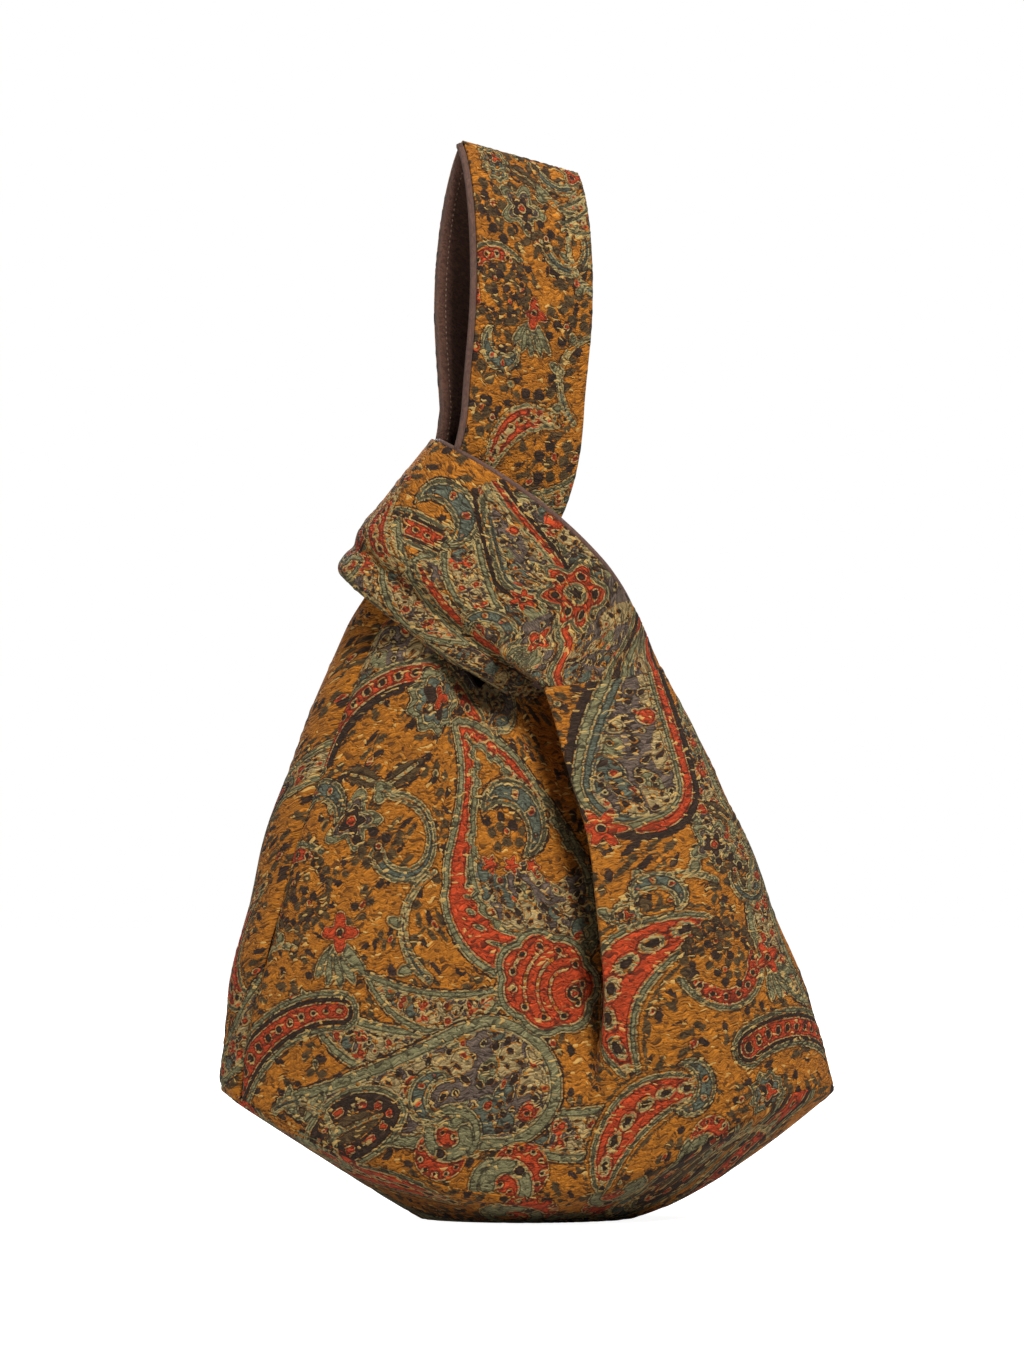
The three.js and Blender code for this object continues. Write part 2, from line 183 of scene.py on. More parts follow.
def closed_sheet(name, outside, inside, stride):
    """A sheet of cloth: a fine outer face, a coarser inner face and a rim all round."""
    rows, columns = outside.shape[:2]
    outer = np.arange(rows * columns).reshape(rows, columns)
    inner = rows * columns + np.arange(inside[..., 0].size).reshape(inside.shape[:2])
    faces = [grid_quads(outer), grid_quads(inner)[:, ::-1]]
    faces.append(rim_faces(outer[0], inner[0], stride))
    faces.append(rim_faces(outer[-1], inner[-1], stride)[:, ::-1])
    faces.append(rim_faces(outer[:, 0], inner[:, 0], stride)[:, ::-1])
    faces.append(rim_faces(outer[:, -1], inner[:, -1], stride))
    points = np.concatenate([outside.reshape(-1, 3), inside.reshape(-1, 3)])
    return mesh_object(name, points, faces)


TUBE_SIDES = 12
CAP_SHARE = 0.02


def tube(name, path, side, radius):
    """A round cord: circles square to the path, drawn in at both ends to a rounded cap."""
    along = unit(np.gradient(path, axis=0))
    side = unit(side - along * (side * along).sum(1, keepdims=True))
    other = np.cross(along, side)
    from_start = lengths(path[:, None], 0)
    to_end = np.minimum(from_start, from_start[-1] - from_start)
    bead = radius * np.sqrt(np.clip(1 - (1 - np.minimum(to_end / radius, 1)) ** 2, CAP_SHARE, 1))
    turn = np.linspace(0, 2 * np.pi, TUBE_SIDES, endpoint=False)[None, :, None]
    circle = np.cos(turn) * side[:, None] + np.sin(turn) * other[:, None]
    rings = path[:, None] + bead[..., None] * circle
    index = np.arange(len(path) * TUBE_SIDES).reshape(len(path), TUBE_SIDES)
    index = np.concatenate([index, index[:, :1]], 1)
    first = np.full(TUBE_SIDES, len(path) * TUBE_SIDES)
    caps = [
        np.stack([index[0, 1:], index[0, :-1], first], 1),
        np.stack([index[-1, :-1], index[-1, 1:], first + 1], 1),
    ]
    points = np.concatenate([rings.reshape(-1, 3), path[:1], path[-1:]])
    return mesh_object(name, points, [grid_quads(index), *caps])


# %% [markdown]
# ## Shape of the pouch
# The pouch is a front and a back panel over a boat-shaped base with pointed ends. A level section is
# an oval, longest at the base tips and drawn together at the neck. The angle runs once round that
# oval: 0 at the left end, a quarter turn at the front, half a turn at the right end.

# %% Pouch outline
LEFT_TIP_X, RIGHT_TIP_X, TIP_Z = -142.5, 145.0, 60.0
LEFT_SHOULDER_X, LEFT_SHOULDER_Z, LEFT_BOW = -82.0, 275.0, 10.5
RIGHT_SHOULDER_X, RIGHT_SHOULDER_Z, RIGHT_BOW = 63.0, 257.0, 6.0
FRONT_MOUTH_Z, BACK_MOUTH_Z = 259.0, 266.0
BELLY_HALF_DEPTH, NECK_HALF_DEPTH, DEPTH_TAPER, BELLY_TUCK = 70.0, 34.0, 1.45, 8.0
TIP_POINTEDNESS, TIP_POINT_HEIGHT = 0.35, 38.0
BASE_SEAM_LOW_Z, SEAM_POWER_LEFT, SEAM_POWER_RIGHT = 12.0, 2.0, 4.5
MOUTH_LEFT, MOUTH_RIGHT, MOUTH_SLOPE = 0.375, 0.5625, 0.0625
SHOULDER_RISE, SHOULDER_POWER = 16.0, 0.7
POCKET_PLACE, POCKET_WIDTH, POCKET_DEPTH = 0.468, 0.026, 12.0


def side_x(z, tip_x, shoulder_x, shoulder_z, bow):
    """A straight line from base tip to shoulder, bowed outwards as 4 t (1 - t)."""
    share = np.maximum(0, (z - TIP_Z) / (shoulder_z - TIP_Z))
    return lerp(tip_x, shoulder_x, share) + np.sign(tip_x) * 4 * bow * share * (1 - share)


def half_depth(z):
    """Half the bag's depth: fullest at the tips, tapering to the neck as a power of the height."""
    below = np.clip((TIP_Z - z) / TIP_Z, 0, 1)
    share = np.clip((z - TIP_Z) / (LEFT_SHOULDER_Z - TIP_Z), 0, None)
    return lerp(BELLY_HALF_DEPTH, NECK_HALF_DEPTH, share**DEPTH_TAPER) - BELLY_TUCK * below**2


def base_seam_z(angle):
    """Height of the base seam: the tip's height less a power of |sin(angle)|, steeper on the left."""
    power = lerp(SEAM_POWER_LEFT, SEAM_POWER_RIGHT, (1 - np.cos(angle)) / 2)
    return TIP_Z - (TIP_Z - BASE_SEAM_LOW_Z) * np.abs(np.sin(angle)) ** power


def top_edge_z(angle):
    """Top edge: left shoulder, a slope to the mouth, a slit in front, a rise to the right shoulder."""
    share = np.arccos(np.cos(angle)) / np.pi
    slit = POCKET_DEPTH * hump(share, POCKET_PLACE, POCKET_WIDTH)
    mouth = np.where(np.sin(angle) > 0, FRONT_MOUTH_Z - slit, BACK_MOUTH_Z)
    left_side = lerp(LEFT_SHOULDER_Z, mouth, smoothstep(share, MOUTH_LEFT, MOUTH_LEFT + MOUTH_SLOPE))
    shoulder = np.maximum(0, (share - MOUTH_RIGHT) / (1 - MOUTH_RIGHT))
    right_side = RIGHT_SHOULDER_Z - SHOULDER_RISE * (1 - shoulder**SHOULDER_POWER)
    return lerp(left_side, right_side, smoothstep(share, MOUTH_RIGHT - MOUTH_SLOPE, MOUTH_RIGHT))


# %% Pleat and mouth
RIDGE_X, RIDGE_Z, RIDGE_SWAY, RIDGE_SPAN = 36.7, 101.0, 26.0, 140.0
RIDGE_RISE, RIDGE_WIDTH, RIDGE_OVERHANG = 17.0, 40.0, 17.0
VALLEY_DEPTH, VALLEY_WIDTH, FOLD_WALL = 25.0, 28.0, 8.0
PLEAT_FOOT_Z, PLEAT_BEND_Z, PLEAT_TOP_Z = 45.0, 115.0, 235.0
LOW_GROWTH, HIGH_GROWTH = 0.7, 0.3
LEAN_LEFT, LEAN_RIGHT = 7.0, 25.0
HOLLOW_X, HOLLOW_WIDTH, HOLLOW_DEPTH = -17.0, 15.0, 34.0
HOLLOW_FOOT_Z, HOLLOW_TOP_Z = 214.0, 256.0
FOLD_REACH = (0.05, 0.5)
BACK_LEAN, BACK_LEAN_REACH = 18.0, 0.75
BACK_LEAN_FOOT_Z, BACK_LEAN_TOP_Z = 215.0, 262.0


def fold_frame(x, z):
    """Growth of the pleat from foot to mouth, the way right of its ridge, and the mouth's hollow."""
    growth = LOW_GROWTH * smoothstep(z, PLEAT_FOOT_Z, PLEAT_BEND_Z)
    growth = growth + HIGH_GROWTH * smoothstep(z, PLEAT_BEND_Z, PLEAT_TOP_Z)
    ridge = RIDGE_X - RIDGE_SWAY * ((z - RIDGE_Z) / RIDGE_SPAN) ** 2 + RIDGE_OVERHANG * growth
    hollow = HOLLOW_DEPTH * hump(x, HOLLOW_X, HOLLOW_WIDTH) * smoothstep(z, HOLLOW_FOOT_Z, HOLLOW_TOP_Z)
    return growth, x - ridge, hollow


def front_fold(x, z):
    """How far the front stands out, and how far it leans left, along the pleat.

    Right of the ridge the cloth swells in a bell curve. Left of it a short wall falls to the valley,
    which fades out in another bell curve.
    """
    growth, beside, hollow = fold_frame(x, z)
    swell = RIDGE_RISE * hump(beside, 0, RIDGE_WIDTH)
    valley = VALLEY_DEPTH * hump(np.minimum(0, beside + FOLD_WALL), 0, VALLEY_WIDTH)
    wall = lerp(RIDGE_RISE, -valley, smoothstep(-beside, 0, FOLD_WALL))
    out = growth * np.where(beside > 0, swell, wall)
    lean = hump(beside, 0, np.where(beside > 0, LEAN_RIGHT, LEAN_LEFT))
    return out - hollow, RIDGE_OVERHANG * growth * lean


def no_fold(x, z):
    """The same for a pouch that is smooth all round."""
    return 0, 0


def lining_fold(x, z):
    """The same for the lining, which hangs unpleated behind the valley and the hollow."""
    growth, beside, hollow = fold_frame(x, z)
    return -growth * VALLEY_DEPTH * hump(beside, -FOLD_WALL, 2 * VALLEY_WIDTH) - hollow, 0


def pouch_point(angle, z, fold=front_fold, fold_reach=FOLD_REACH):
    """A point of the pouch: an oval section whose ends are pointed near the base tips.

    x is the middle less half the length times cos(angle), and y is half the depth times a power of
    sin(angle). The front is folded too, more and more as sin(angle) passes fold_reach, and the back
    leans in under the collar.
    """
    left = side_x(z, LEFT_TIP_X, LEFT_SHOULDER_X, LEFT_SHOULDER_Z, LEFT_BOW)
    right = side_x(z, RIGHT_TIP_X, RIGHT_SHOULDER_X, RIGHT_SHOULDER_Z, RIGHT_BOW)
    x = (left + right) / 2 - (right - left) / 2 * np.cos(angle)
    sine = np.sin(angle)
    power = 1 + TIP_POINTEDNESS * hump(z, TIP_Z, TIP_POINT_HEIGHT)
    reach = np.sign(sine) * np.abs(sine) ** power
    out, lean = fold(x, z)
    is_front = smoothstep(sine, *fold_reach)
    lean_share = smoothstep(z, BACK_LEAN_FOOT_Z, BACK_LEAN_TOP_Z) * smoothstep(-sine, BACK_LEAN_REACH, 1)
    y = -half_depth(z) * reach - out * is_front - BACK_LEAN * lean_share
    return np.stack([x - lean * is_front, y, z + 0 * x], -1)


mouth_angles = np.array([MOUTH_LEFT, MOUTH_RIGHT]) * np.pi
print("mouth width in millimetres:", np.round(np.ptp(pouch_point(mouth_angles, FRONT_MOUTH_Z)[:, 0])))

# %% [markdown]
# ## Drawing the woven pattern
# The cloth is a paisley tapestry: curled drops, scrolls, sprays and berries in a few yarns on ochre.
# It could be one picture, but a drawing by rules stays sharp at any size. Each yarn has a distance
# field on the flat cloth, negative where that yarn is on top, and a shader turns fields into colour.

# %% Yarn fields
YARNS = ("red", "sage", "slate", "dark", "olive", "violet", "cream")
FAR = 99.0
REACH = 62.0


class Cloth:
    """A flat piece of cloth, as places in millimetres, with one field for each yarn."""

    def __init__(self, places):
        self.places = places
        self.fields = {yarn: np.full(len(places), FAR) for yarn in YARNS}

    def draw(self, motif, centre, turn=0.0, size=1.0, reach=REACH):
        """Draws a motif about a centre, turned by degrees and sized by a factor."""
        offset = (self.places - np.asarray(centre)) / size
        near = np.flatnonzero(np.hypot(offset[:, 0], offset[:, 1]) < reach)
        cosine, sine = np.cos(np.radians(turn)), np.sin(np.radians(turn))
        x, y = offset[near].T
        places = np.stack([cosine * x + sine * y, cosine * y - sine * x], 1)
        motif(Brush(self.fields, near, size), places)


class Brush:
    """Lays yarns on the part of a cloth that a motif can reach."""

    def __init__(self, fields, near, size):
        self.fields, self.near, self.size = fields, near, size

    def fill(self, yarn, distance):
        """Covers the inside of a shape with a yarn, or with bare ground if the yarn is None."""
        distance = distance * self.size
        for field in self.fields.values():
            field[self.near] = np.maximum(field[self.near], -distance)
        if yarn:
            self.fields[yarn][self.near] = np.minimum(self.fields[yarn][self.near], distance)

    def bands(self, distance, *layers):
        """Covers a shape with several yarns in turn, each from its own depth inside the edge."""
        for yarn, depth in layers:
            self.fill(yarn, distance + depth)


# %% Shapes
def curl(start, heading, length, turn, power=1.0, steps=16):
    """Points of a path whose heading, in degrees, turns by heading + turn * t^power."""
    share = np.linspace(0, 1, steps)
    angle = np.radians(heading + turn * share**power)
    moves = np.stack([np.cos(angle), np.sin(angle)], 1) * length / steps
    return np.asarray(start) + np.concatenate([[[0, 0]], np.cumsum(moves, 0)])


def stroke(places, path, radius):
    """Distance to a brush stroke, the least of |p - path| - radius, and the share along the path."""
    share = np.linspace(0, 1, len(path))
    radii = radius(share) if callable(radius) else np.full(len(path), float(radius))
    step = path[1:] - path[:-1]
    offset = places[:, None] - path[:-1]
    t = np.clip((offset * step).sum(-1) / (step * step).sum(-1), 0, 1)
    gap = np.linalg.norm(offset - t[..., None] * step, axis=-1) - lerp(radii[:-1], radii[1:], t)
    best = gap.argmin(1)
    rows = np.arange(len(places))
    return gap[rows, best], (best + t[rows, best]) / len(step)


def drop(width):
    """Radius of a paisley drop: widest at the start and drawn out to a tip."""
    return lambda share: width * (1 - share) ** 0.8 + 1.0


def lens(width):
    """Radius of a leaf: pointed at both ends."""
    return lambda share: width * np.clip(np.sin(np.pi * share), 0, 1) ** 0.8 + 0.2


def disc(places, centre, radius):
    """Distance to a circle."""
    return np.hypot(*(places - np.asarray(centre)).T) - radius


def petals(places, centre, count, radius, depth):
    """Distance to a flower whose radius swings by 1 + depth * cos(count * angle)."""
    x, y = (places - np.asarray(centre)).T
    return np.hypot(x, y) - radius * (1 + depth * np.cos(count * np.arctan2(y, x)))


def beads(around, offset, spacing, radius, stretch=1.0):
    """Distance to beads strung on a line: around is the way along it, offset the way beside it."""
    beside = (around + spacing / 2) % spacing - spacing / 2
    return np.hypot(beside / stretch, offset) - radius


def hashed(cell, salt):
    """A number from 0 to 1 for each cell, which looks random but is always the same."""
    return np.modf(np.abs(np.sin(cell @ [12.9898, 78.233] + 1.7 * salt)) * 43758.5453)[0]


def scatter(brush, places, region, spacing, size, picks):
    """Blobs inside a region: one in each swayed square cell, shifted, sized and coloured by a hash."""
    u, v = places.T
    swayed = places + spacing * 0.4 * np.stack([np.sin(v / spacing), np.sin(1.3 * u / spacing)], 1)
    cell = np.floor(swayed / spacing)
    centre = (cell + 0.3 + 0.4 * np.stack([hashed(cell, 1), hashed(cell, 2)], 1)) * spacing
    blob = np.hypot(*(swayed - centre).T) - spacing * size * (0.7 + 0.6 * hashed(cell, 3))
    inside = np.maximum(blob, region + 0.8)
    pick = hashed(cell, 4)
    for yarn, low, high in picks:
        brush.fill(yarn, np.where((pick >= low) & (pick < high), inside, FAR))


PATCHES = (("cream", 0, 0.3), ("slate", 0.3, 0.55), ("sage", 0.55, 0.7), ("red", 0.7, 0.76))
DOTS = (("dark", 0, 0.62), ("red", 0.62, 0.72))


def mottle(brush, places, region, dots=4.4):
    """A violet region with patches of other yarns and a sowing of dark and red dots."""
    brush.fill("violet", region)
    scatter(brush, places, region, 2.1 * dots, 0.52, PATCHES)
    scatter(brush, places + 3, region, dots, 0.3, DOTS)


SPRIG_CELL, SPRIG_LOBES, LOBE_STEP = 23.0, 7, 2.7
LOBE_LENGTH, LOBE_WIDTH = 2.5, 1.55
STEM_WIDTH, STEM_LENGTH, BUD_RADIUS = 0.45, 8.5, 1.3


def sprig_ground(brush, places):
    """Small sprigs all over the ground: one in each cell of a brick pattern, turned by a hash.

    A sprig is a bent stem with lobes on alternate sides, close enough to run together, and a bud.
    """
    u, v = places.T
    swayed = places + 6 * np.stack([np.sin(v / 19), np.sin(u / 23 + 1) + np.sin(u / 11)], 1)
    row = np.floor(swayed[:, 1] / SPRIG_CELL)
    shifted = swayed + np.stack([row % 2 * SPRIG_CELL / 2, 0 * row], 1)
    cell = np.floor(shifted / SPRIG_CELL)
    jitter = 0.5 + 0.16 * (np.stack([hashed(cell, 1), hashed(cell, 2)], 1) - 0.5)
    x, y = (shifted - (cell + jitter) * SPRIG_CELL).T
    turn = 2 * np.pi * hashed(cell, 3)
    along = x * np.cos(turn) + y * np.sin(turn)
    beside = y * np.cos(turn) - x * np.sin(turn) - 0.07 * (hashed(cell, 4) - 0.5) * along**2
    size = 0.95 + 0.45 * hashed(cell, 5)
    along, beside = along / size, beside / size
    brush.fill("olive", np.maximum(np.abs(beside) - STEM_WIDTH, np.abs(along) - STEM_LENGTH))
    for i in range(SPRIG_LOBES):
        side = 1 if i % 2 else -1
        reach = 2.3 + 1.1 * hashed(cell, 10 + i)
        tilt = side * np.radians(60 + 30 * hashed(cell, 20 + i))
        lobe_x = along - LOBE_STEP * (i - SPRIG_LOBES // 2)
        lobe_y = beside - side * reach
        long = lobe_x * np.cos(tilt) + lobe_y * np.sin(tilt)
        wide = lobe_y * np.cos(tilt) - lobe_x * np.sin(tilt)
        lobe = (np.hypot(long / LOBE_LENGTH, wide / LOBE_WIDTH) - 1) * LOBE_WIDTH
        brush.fill("olive" if i % 3 else "dark", lobe)
    bud = np.hypot(along - 1, beside) - BUD_RADIUS
    brush.fill("red", np.where(hashed(cell, 6) > 0.55, bud, FAR))
    brush.fill("sage", np.where(hashed(cell, 6) < 0.3, bud, FAR))


# %% [markdown]
# Each motif is a few strokes laid over each other, outer band first, as an embroiderer would build
# it up. They are drawn about their own middle, in millimetres, and placed and turned later.

# %% Drops, shells and crescents
def big_drop(brush, p):
    """A curled drop: sage rim, a scalloped red band that widens towards its foot, a mottled inside."""
    distance, share = stroke(p, curl((2, 0), 96, 78, 58, 2), drop(36))
    around = share * 78 + 1.5 * np.minimum(0, p[:, 1])
    band = lerp(17, 6, smoothstep(p[:, 1], -25, 35)) * (1 - smoothstep(p[:, 0], 8, 20))
    inside = distance + 3.6 + band - 2.2 * np.abs(np.sin(np.pi * around / 9))
    brush.bands(distance, ("dark", -1.0), ("sage", 0), ("red", 3.6))
    brush.fill("dark", np.maximum(beads(around, distance + 7.4, 7, 1.8, 1.3), inside - 1))
    brush.fill("sage", beads(around + 5, distance + 13.0, 9, 1.9))
    brush.fill("sage", inside)
    mottle(brush, p, inside + 3.6)
    brush.fill(None, np.maximum(inside + 3.2, 11 - p[:, 1] + 4 * np.sin(p[:, 0] / 4)))
    berries(brush, p - [-3, 25])
    berries(brush, p - [9, 33])
    for x in (-11, -1, 9):
        brush.fill("red", petals(p, (x, 12 + 0.1 * x), 5, 3.0, 0.4))
    curl_leaf(brush, (p - [-3, 40]) / 1.2)


def plain_drop(brush, p):
    """A drop in grey and sage with a mottled inside, edged in dark, red on one side, and a bloom."""
    distance, _ = stroke(p, curl((0, 0), 88, 78, -20, 2), drop(19))
    brush.fill("dark", distance - 3.4)
    brush.fill("red", np.where(p[:, 0] > -2, distance, FAR))
    brush.fill("sage", distance + 4.0 * smoothstep(p[:, 0], -6, 4))
    brush.fill("slate", distance + 3.5 + 3.0 * smoothstep(p[:, 0], -6, 4))
    mottle(brush, p, distance + 6.5, 4.0)
    brush.fill("red", petals(p, (-12, -18), 6, 6.5, 0.35))
    brush.fill("dark", disc(p, (-12, -18), 1.8))


def drop_tip(brush, p):
    """The upper end of a plain drop, for the cloth that goes on above it."""
    plain_drop(brush, p + [0, 49])


def grey_drop(brush, p):
    """A broad drop of mottled cloth in a sage rim."""
    distance, _ = stroke(p, curl((0, 0), 88, 78, -20, 2), drop(21))
    brush.bands(distance, ("dark", -1.0), ("sage", 0))
    mottle(brush, p, distance + 4.2, 4.0)


def shell(brush, p):
    """A red shell: a scalloped rim, pale ribs that are arcs round its eye, and a dark eye."""
    radius, angle = np.hypot(*p.T), np.arctan2(p[:, 1], p[:, 0])
    distance = radius - 17 - 2.2 * np.abs(np.cos(3.5 * angle))
    from_eye = disc(p, (11, -4), 0)
    ribs = np.abs((from_eye / 5.2 + 0.5) % 1 - 0.5) * 5.2 - 0.3
    brush.bands(distance, ("sage", -3.2), ("red", 0))
    brush.fill("cream", np.maximum.reduce([ribs, distance + 3.5, 7 - from_eye, p[:, 0] - 9]))
    brush.fill("dark", beads(angle * 12, radius - 14.5, 7, 1.3))
    brush.bands(from_eye, ("dark", -3.4), ("red", -1.5))


def crescent(brush, p):
    """A long bent leaf: broad sage rim, mottled inside, beads of red."""
    distance, share = stroke(p, curl((-38, 14), -62, 92, 92), lens(11))
    brush.bands(distance, ("dark", -1.0), ("sage", 0))
    mottle(brush, p, distance + 3.8, 4.0)
    brush.fill("red", beads(share * 92, distance + 7.4, 13, 2.0))


def red_crescent(brush, p):
    """A broad red crescent in a sage rim with a row of dark and sage leaves inside."""
    width = lens(9.5)
    distance, share = stroke(p, curl((24, 27), 186, 92, 104), width)
    middle = distance + width(share)
    brush.bands(distance, ("olive", -6.2), (None, -4.8), ("sage", -2.8), ("red", 0))
    leaves = beads(share * 92, middle, 13, 3.1, 1.7)
    brush.bands(leaves, ("sage", 0), ("dark", 1.1))


def arch(brush, p):
    """A bent red band with dark beads, a dark edge and a sage edge."""
    distance, share = stroke(p, curl((-26, -20), 78, 66, -62), lambda share: 5.4 - 2.2 * share)
    brush.bands(distance, ("sage", -5.0), ("dark", -2.4), ("red", 0))
    brush.fill("dark", beads(share * 66, distance + 4.2, 6.5, 1.7))


def hood(brush, p):
    """A long arch: a dark band inside, a red one over it and a broad mottled band outside."""
    outer, _ = stroke(p, curl((-50, -26), 70, 144, -116), 12)
    brush.fill("sage", outer - 2.0)
    mottle(brush, p, outer, 4.2)
    distance, share = stroke(p, curl((-36, -30), 70, 110, -116), 4.0)
    brush.bands(distance, ("sage", -2.4), ("red", 0))
    brush.fill("dark", beads(share * 110, distance + 3.4, 8, 1.4, 1.4))
    brush.fill("dark", stroke(p, curl((-29.5, -32), 70, 98, -116), 2.4)[0])


# %% Flowers, scrolls and leaves
def flower(brush, p, centre, *layers):
    """Flowers laid over each other: yarn, number of petals, radius and depth of each."""
    for yarn, count, radius, depth in layers:
        brush.fill(yarn, petals(p, centre, count, radius, depth))


def leaf_fan(brush, p):
    """Five slim sage leaves that hang from a red bloom."""
    for angle in (-132, -112, -92, -72, -52):
        brush.fill("sage", stroke(p, curl((0, -3), angle, 17, 8), lens(2.4))[0])
    brush.fill("red", petals(p, (0, 0), 4, 5.8, 0.35))
    brush.fill("dark", disc(p, (0, 0), 1.5))


def berries(brush, p):
    """A cluster of round leaves in dark and olive, set on a spiral of equal turns."""
    for i in range(10):
        angle, radius = np.radians(137.5 * i), 3.3 * np.sqrt(i)
        lobe = disc(p, (radius * np.cos(angle), 0.8 * radius * np.sin(angle)), 2.3)
        brush.fill("olive" if i % 3 else "dark", lobe)
    brush.fill("red", disc(p, (0.5, 0.5), 1.2))


def curl_leaf(brush, p):
    """A hooked leaf in blue grey with a sage rim and red dots."""
    distance, share = stroke(p, curl((-9, -8), 75, 46, -225), lens(5.2))
    brush.bands(distance, ("dark", -0.9), ("sage", 0), ("slate", 1.8))
    brush.fill("red", beads(share * 46, distance + 4.6, 9, 1.1))


def ring(brush, p):
    """A scroll: red and sage on one side, dark beads on the other, berries inside."""
    radius, angle = np.hypot(*p.T), np.arctan2(p[:, 1], p[:, 0])
    around = (angle % (2 * np.pi)) * 17
    left = np.cos(angle - 2.5)
    brush.fill("sage", np.where(left > -0.1, np.abs(radius - 22.5) - 1.5, FAR))
    brush.fill("red", np.where(left > 0, np.abs(radius - 17.5) - 3.6 * np.clip(left * 2, 0, 1), FAR))
    brush.fill("dark", np.where(left > 0.2, beads(around, radius - 17.5, 7, 1.6), FAR))
    for shift in (0, 2.6):
        yarn = "olive" if shift else "dark"
        row = beads(around + shift, radius - 16.5 - shift, 5.2, 2.5)
        brush.fill(yarn, np.where(left < 0.1, row, FAR))
    berries(brush, p - [-3, 3])
    berries(brush, p - [7, -7])


def spiral(brush, p):
    """A sage spiral round a red eye."""
    brush.fill("red", disc(p, (0, 0), 12))
    brush.fill("dark", beads(np.arctan2(*p.T) * 9, disc(p, (0, 0), 9.6), 5, 1.2))
    path = curl((-13, -6), 95, 74, -420, 0.8, 30)
    brush.fill("sage", stroke(p, path, lambda share: 3.8 - 2 * share)[0])
    brush.fill("dark", disc(p, (0, 0), 2.4))


def spray(brush, p):
    """A flower on a bent stem: two leaves above, five lined petals, a drop-shaped loop of stem."""
    for angle in (28, 152):
        leaf = stroke(p, curl((2, 13), angle, 20, 12), lens(4.8))[0]
        brush.bands(leaf, ("dark", 0), ("olive", 0.9))
        brush.fill("sage", stroke(p, curl((2, 13), angle, 16, 12), 0.5)[0])
    brush.fill("sage", petals(p, (2, 11), 3, 4.4, 0.2))
    stem = stroke(p, curl((4, 10), -10, 66, -238, 1.4, 24), lambda share: 1.9 + 1.4 * share)[0]
    brush.bands(stem, ("sage", 0), ("slate", 1.5))
    flower(brush, p, (-11, 0), ("sage", 5, 10.5, 0.3), ("violet", 5, 7.2, 0.3), ("dark", 5, 5.2, 0.25))
    brush.fill("red", disc(p, (-11, 0), 2.0))
    berries(brush, p - [1, -11])


def rosette(brush, p):
    """A lobed sage flower with a dark heart, red petals and pale dots."""
    flower(brush, p, (0, 0), ("dark", 9, 14.5, 0.1), ("sage", 9, 13.5, 0.1), ("slate", 9, 10.0, 0.1))
    brush.fill("dark", petals(p, (0, 0), 5, 7.0, 0.25))
    brush.fill("red", petals(p, (2, 1), 3, 3.8, 0.5))
    brush.fill("cream", disc(p, (-4, -3), 1.8))


def bloom(brush, p):
    """A red flower of six petals, each with a dark eye, round a sage heart."""
    radius, angle = np.hypot(*p.T), np.arctan2(p[:, 1], p[:, 0])
    flower(brush, p, (0, 0), ("sage", 6, 14.0, 0.2), ("red", 6, 11.5, 0.22))
    brush.fill("dark", beads(angle * 8.5, radius - 8.5, 8.5 * np.pi / 3, 2.0))
    brush.fill("sage", disc(p, (0, 0), 4.6))
    brush.fill("dark", petals(p, (0, 0), 5, 2.4, 0.3))


def tendril(brush, p):
    """A long bent stem in sage and grey with leaves on alternate sides."""
    path = curl((-24, -10), 62, 62, -120, 1.0, 24)
    distance, _ = stroke(p, path, lambda share: 2.8 - 1.5 * share)
    for i in range(3, 24, 4):
        side = 1 if i % 8 == 3 else -1
        heading = 62 - 5 * i + side * 55
        leaf, _ = stroke(p, curl(path[i], heading, 11 - 0.2 * i, 20 * side, steps=6), lens(2.6))
        brush.fill("sage" if side > 0 else "olive", leaf)
    brush.bands(distance, ("sage", 0), ("slate", 1.4))


def eye(brush, p):
    """A dark almond with red beads and an olive leaf inside."""
    distance, share = stroke(p, curl((-20, -8), 35, 40, -20), lens(12))
    brush.bands(distance, ("sage", -2.4), ("dark", 0))
    brush.fill("red", beads(share * 40, distance + 4.4, 6, 1.5))
    brush.fill("olive", distance + 7)
    brush.fill("sage", stroke(p, curl((-12, -3), 35, 24, -20), 0.6)[0])


def border(brush, p):
    """A straight band of mottled cloth in a sage edge."""
    distance = np.maximum(np.abs(p[:, 1]) - 13, np.abs(p[:, 0]) - 100)
    brush.fill("sage", distance)
    mottle(brush, p, distance + 2.6, 4.2)


def patchwork(brush, p):
    """A broad bent leaf of mottled cloth in a sage rim, with a red band along its lower side."""
    distance, _ = stroke(p, curl((-58, 0), 12, 116, -24), lens(24))
    brush.bands(distance, ("dark", -1.2), ("sage", 0))
    brush.fill("red", np.where(p[:, 1] < 2, distance + 3.2, FAR))
    mottle(brush, p, distance + 3.2 + 4.5 * smoothstep(p[:, 1], 4, -6), 4.2)


# %% [markdown]
# ## Materials
# Tapestry is made of short floats of yarn. A Voronoi texture squeezed across the cloth gives one cell
# to each float, so every cell can have its own shade and its own rounded back. The edges between
# yarns shift by whole cells too, as they do on a loom. One node group serves all the cloths.

# %% Node helpers
def linear(red, green, blue):
    """A colour given as 0 to 255 on screen, as the linear values that a shader takes."""
    value = np.array([red, green, blue]) / 255
    return (*np.where(value <= 0.04045, value / 12.92, ((value + 0.055) / 1.055) ** 2.4), 1.0)


def add_node(tree, kind, inputs=(), **settings):
    """A node with its settings, and with inputs that are links or values, by name or number."""
    node = tree.nodes.new(kind)
    for name, value in settings.items():
        setattr(node, name, value)
    for key, value in dict(inputs).items():
        if isinstance(value, bpy.types.NodeSocket):
            tree.links.new(value, node.inputs[key])
        else:
            node.inputs[key].default_value = value
    return node


def maths(tree, operation, *values):
    """The result of a Math node."""
    return add_node(tree, "ShaderNodeMath", enumerate(values), operation=operation).outputs[0]


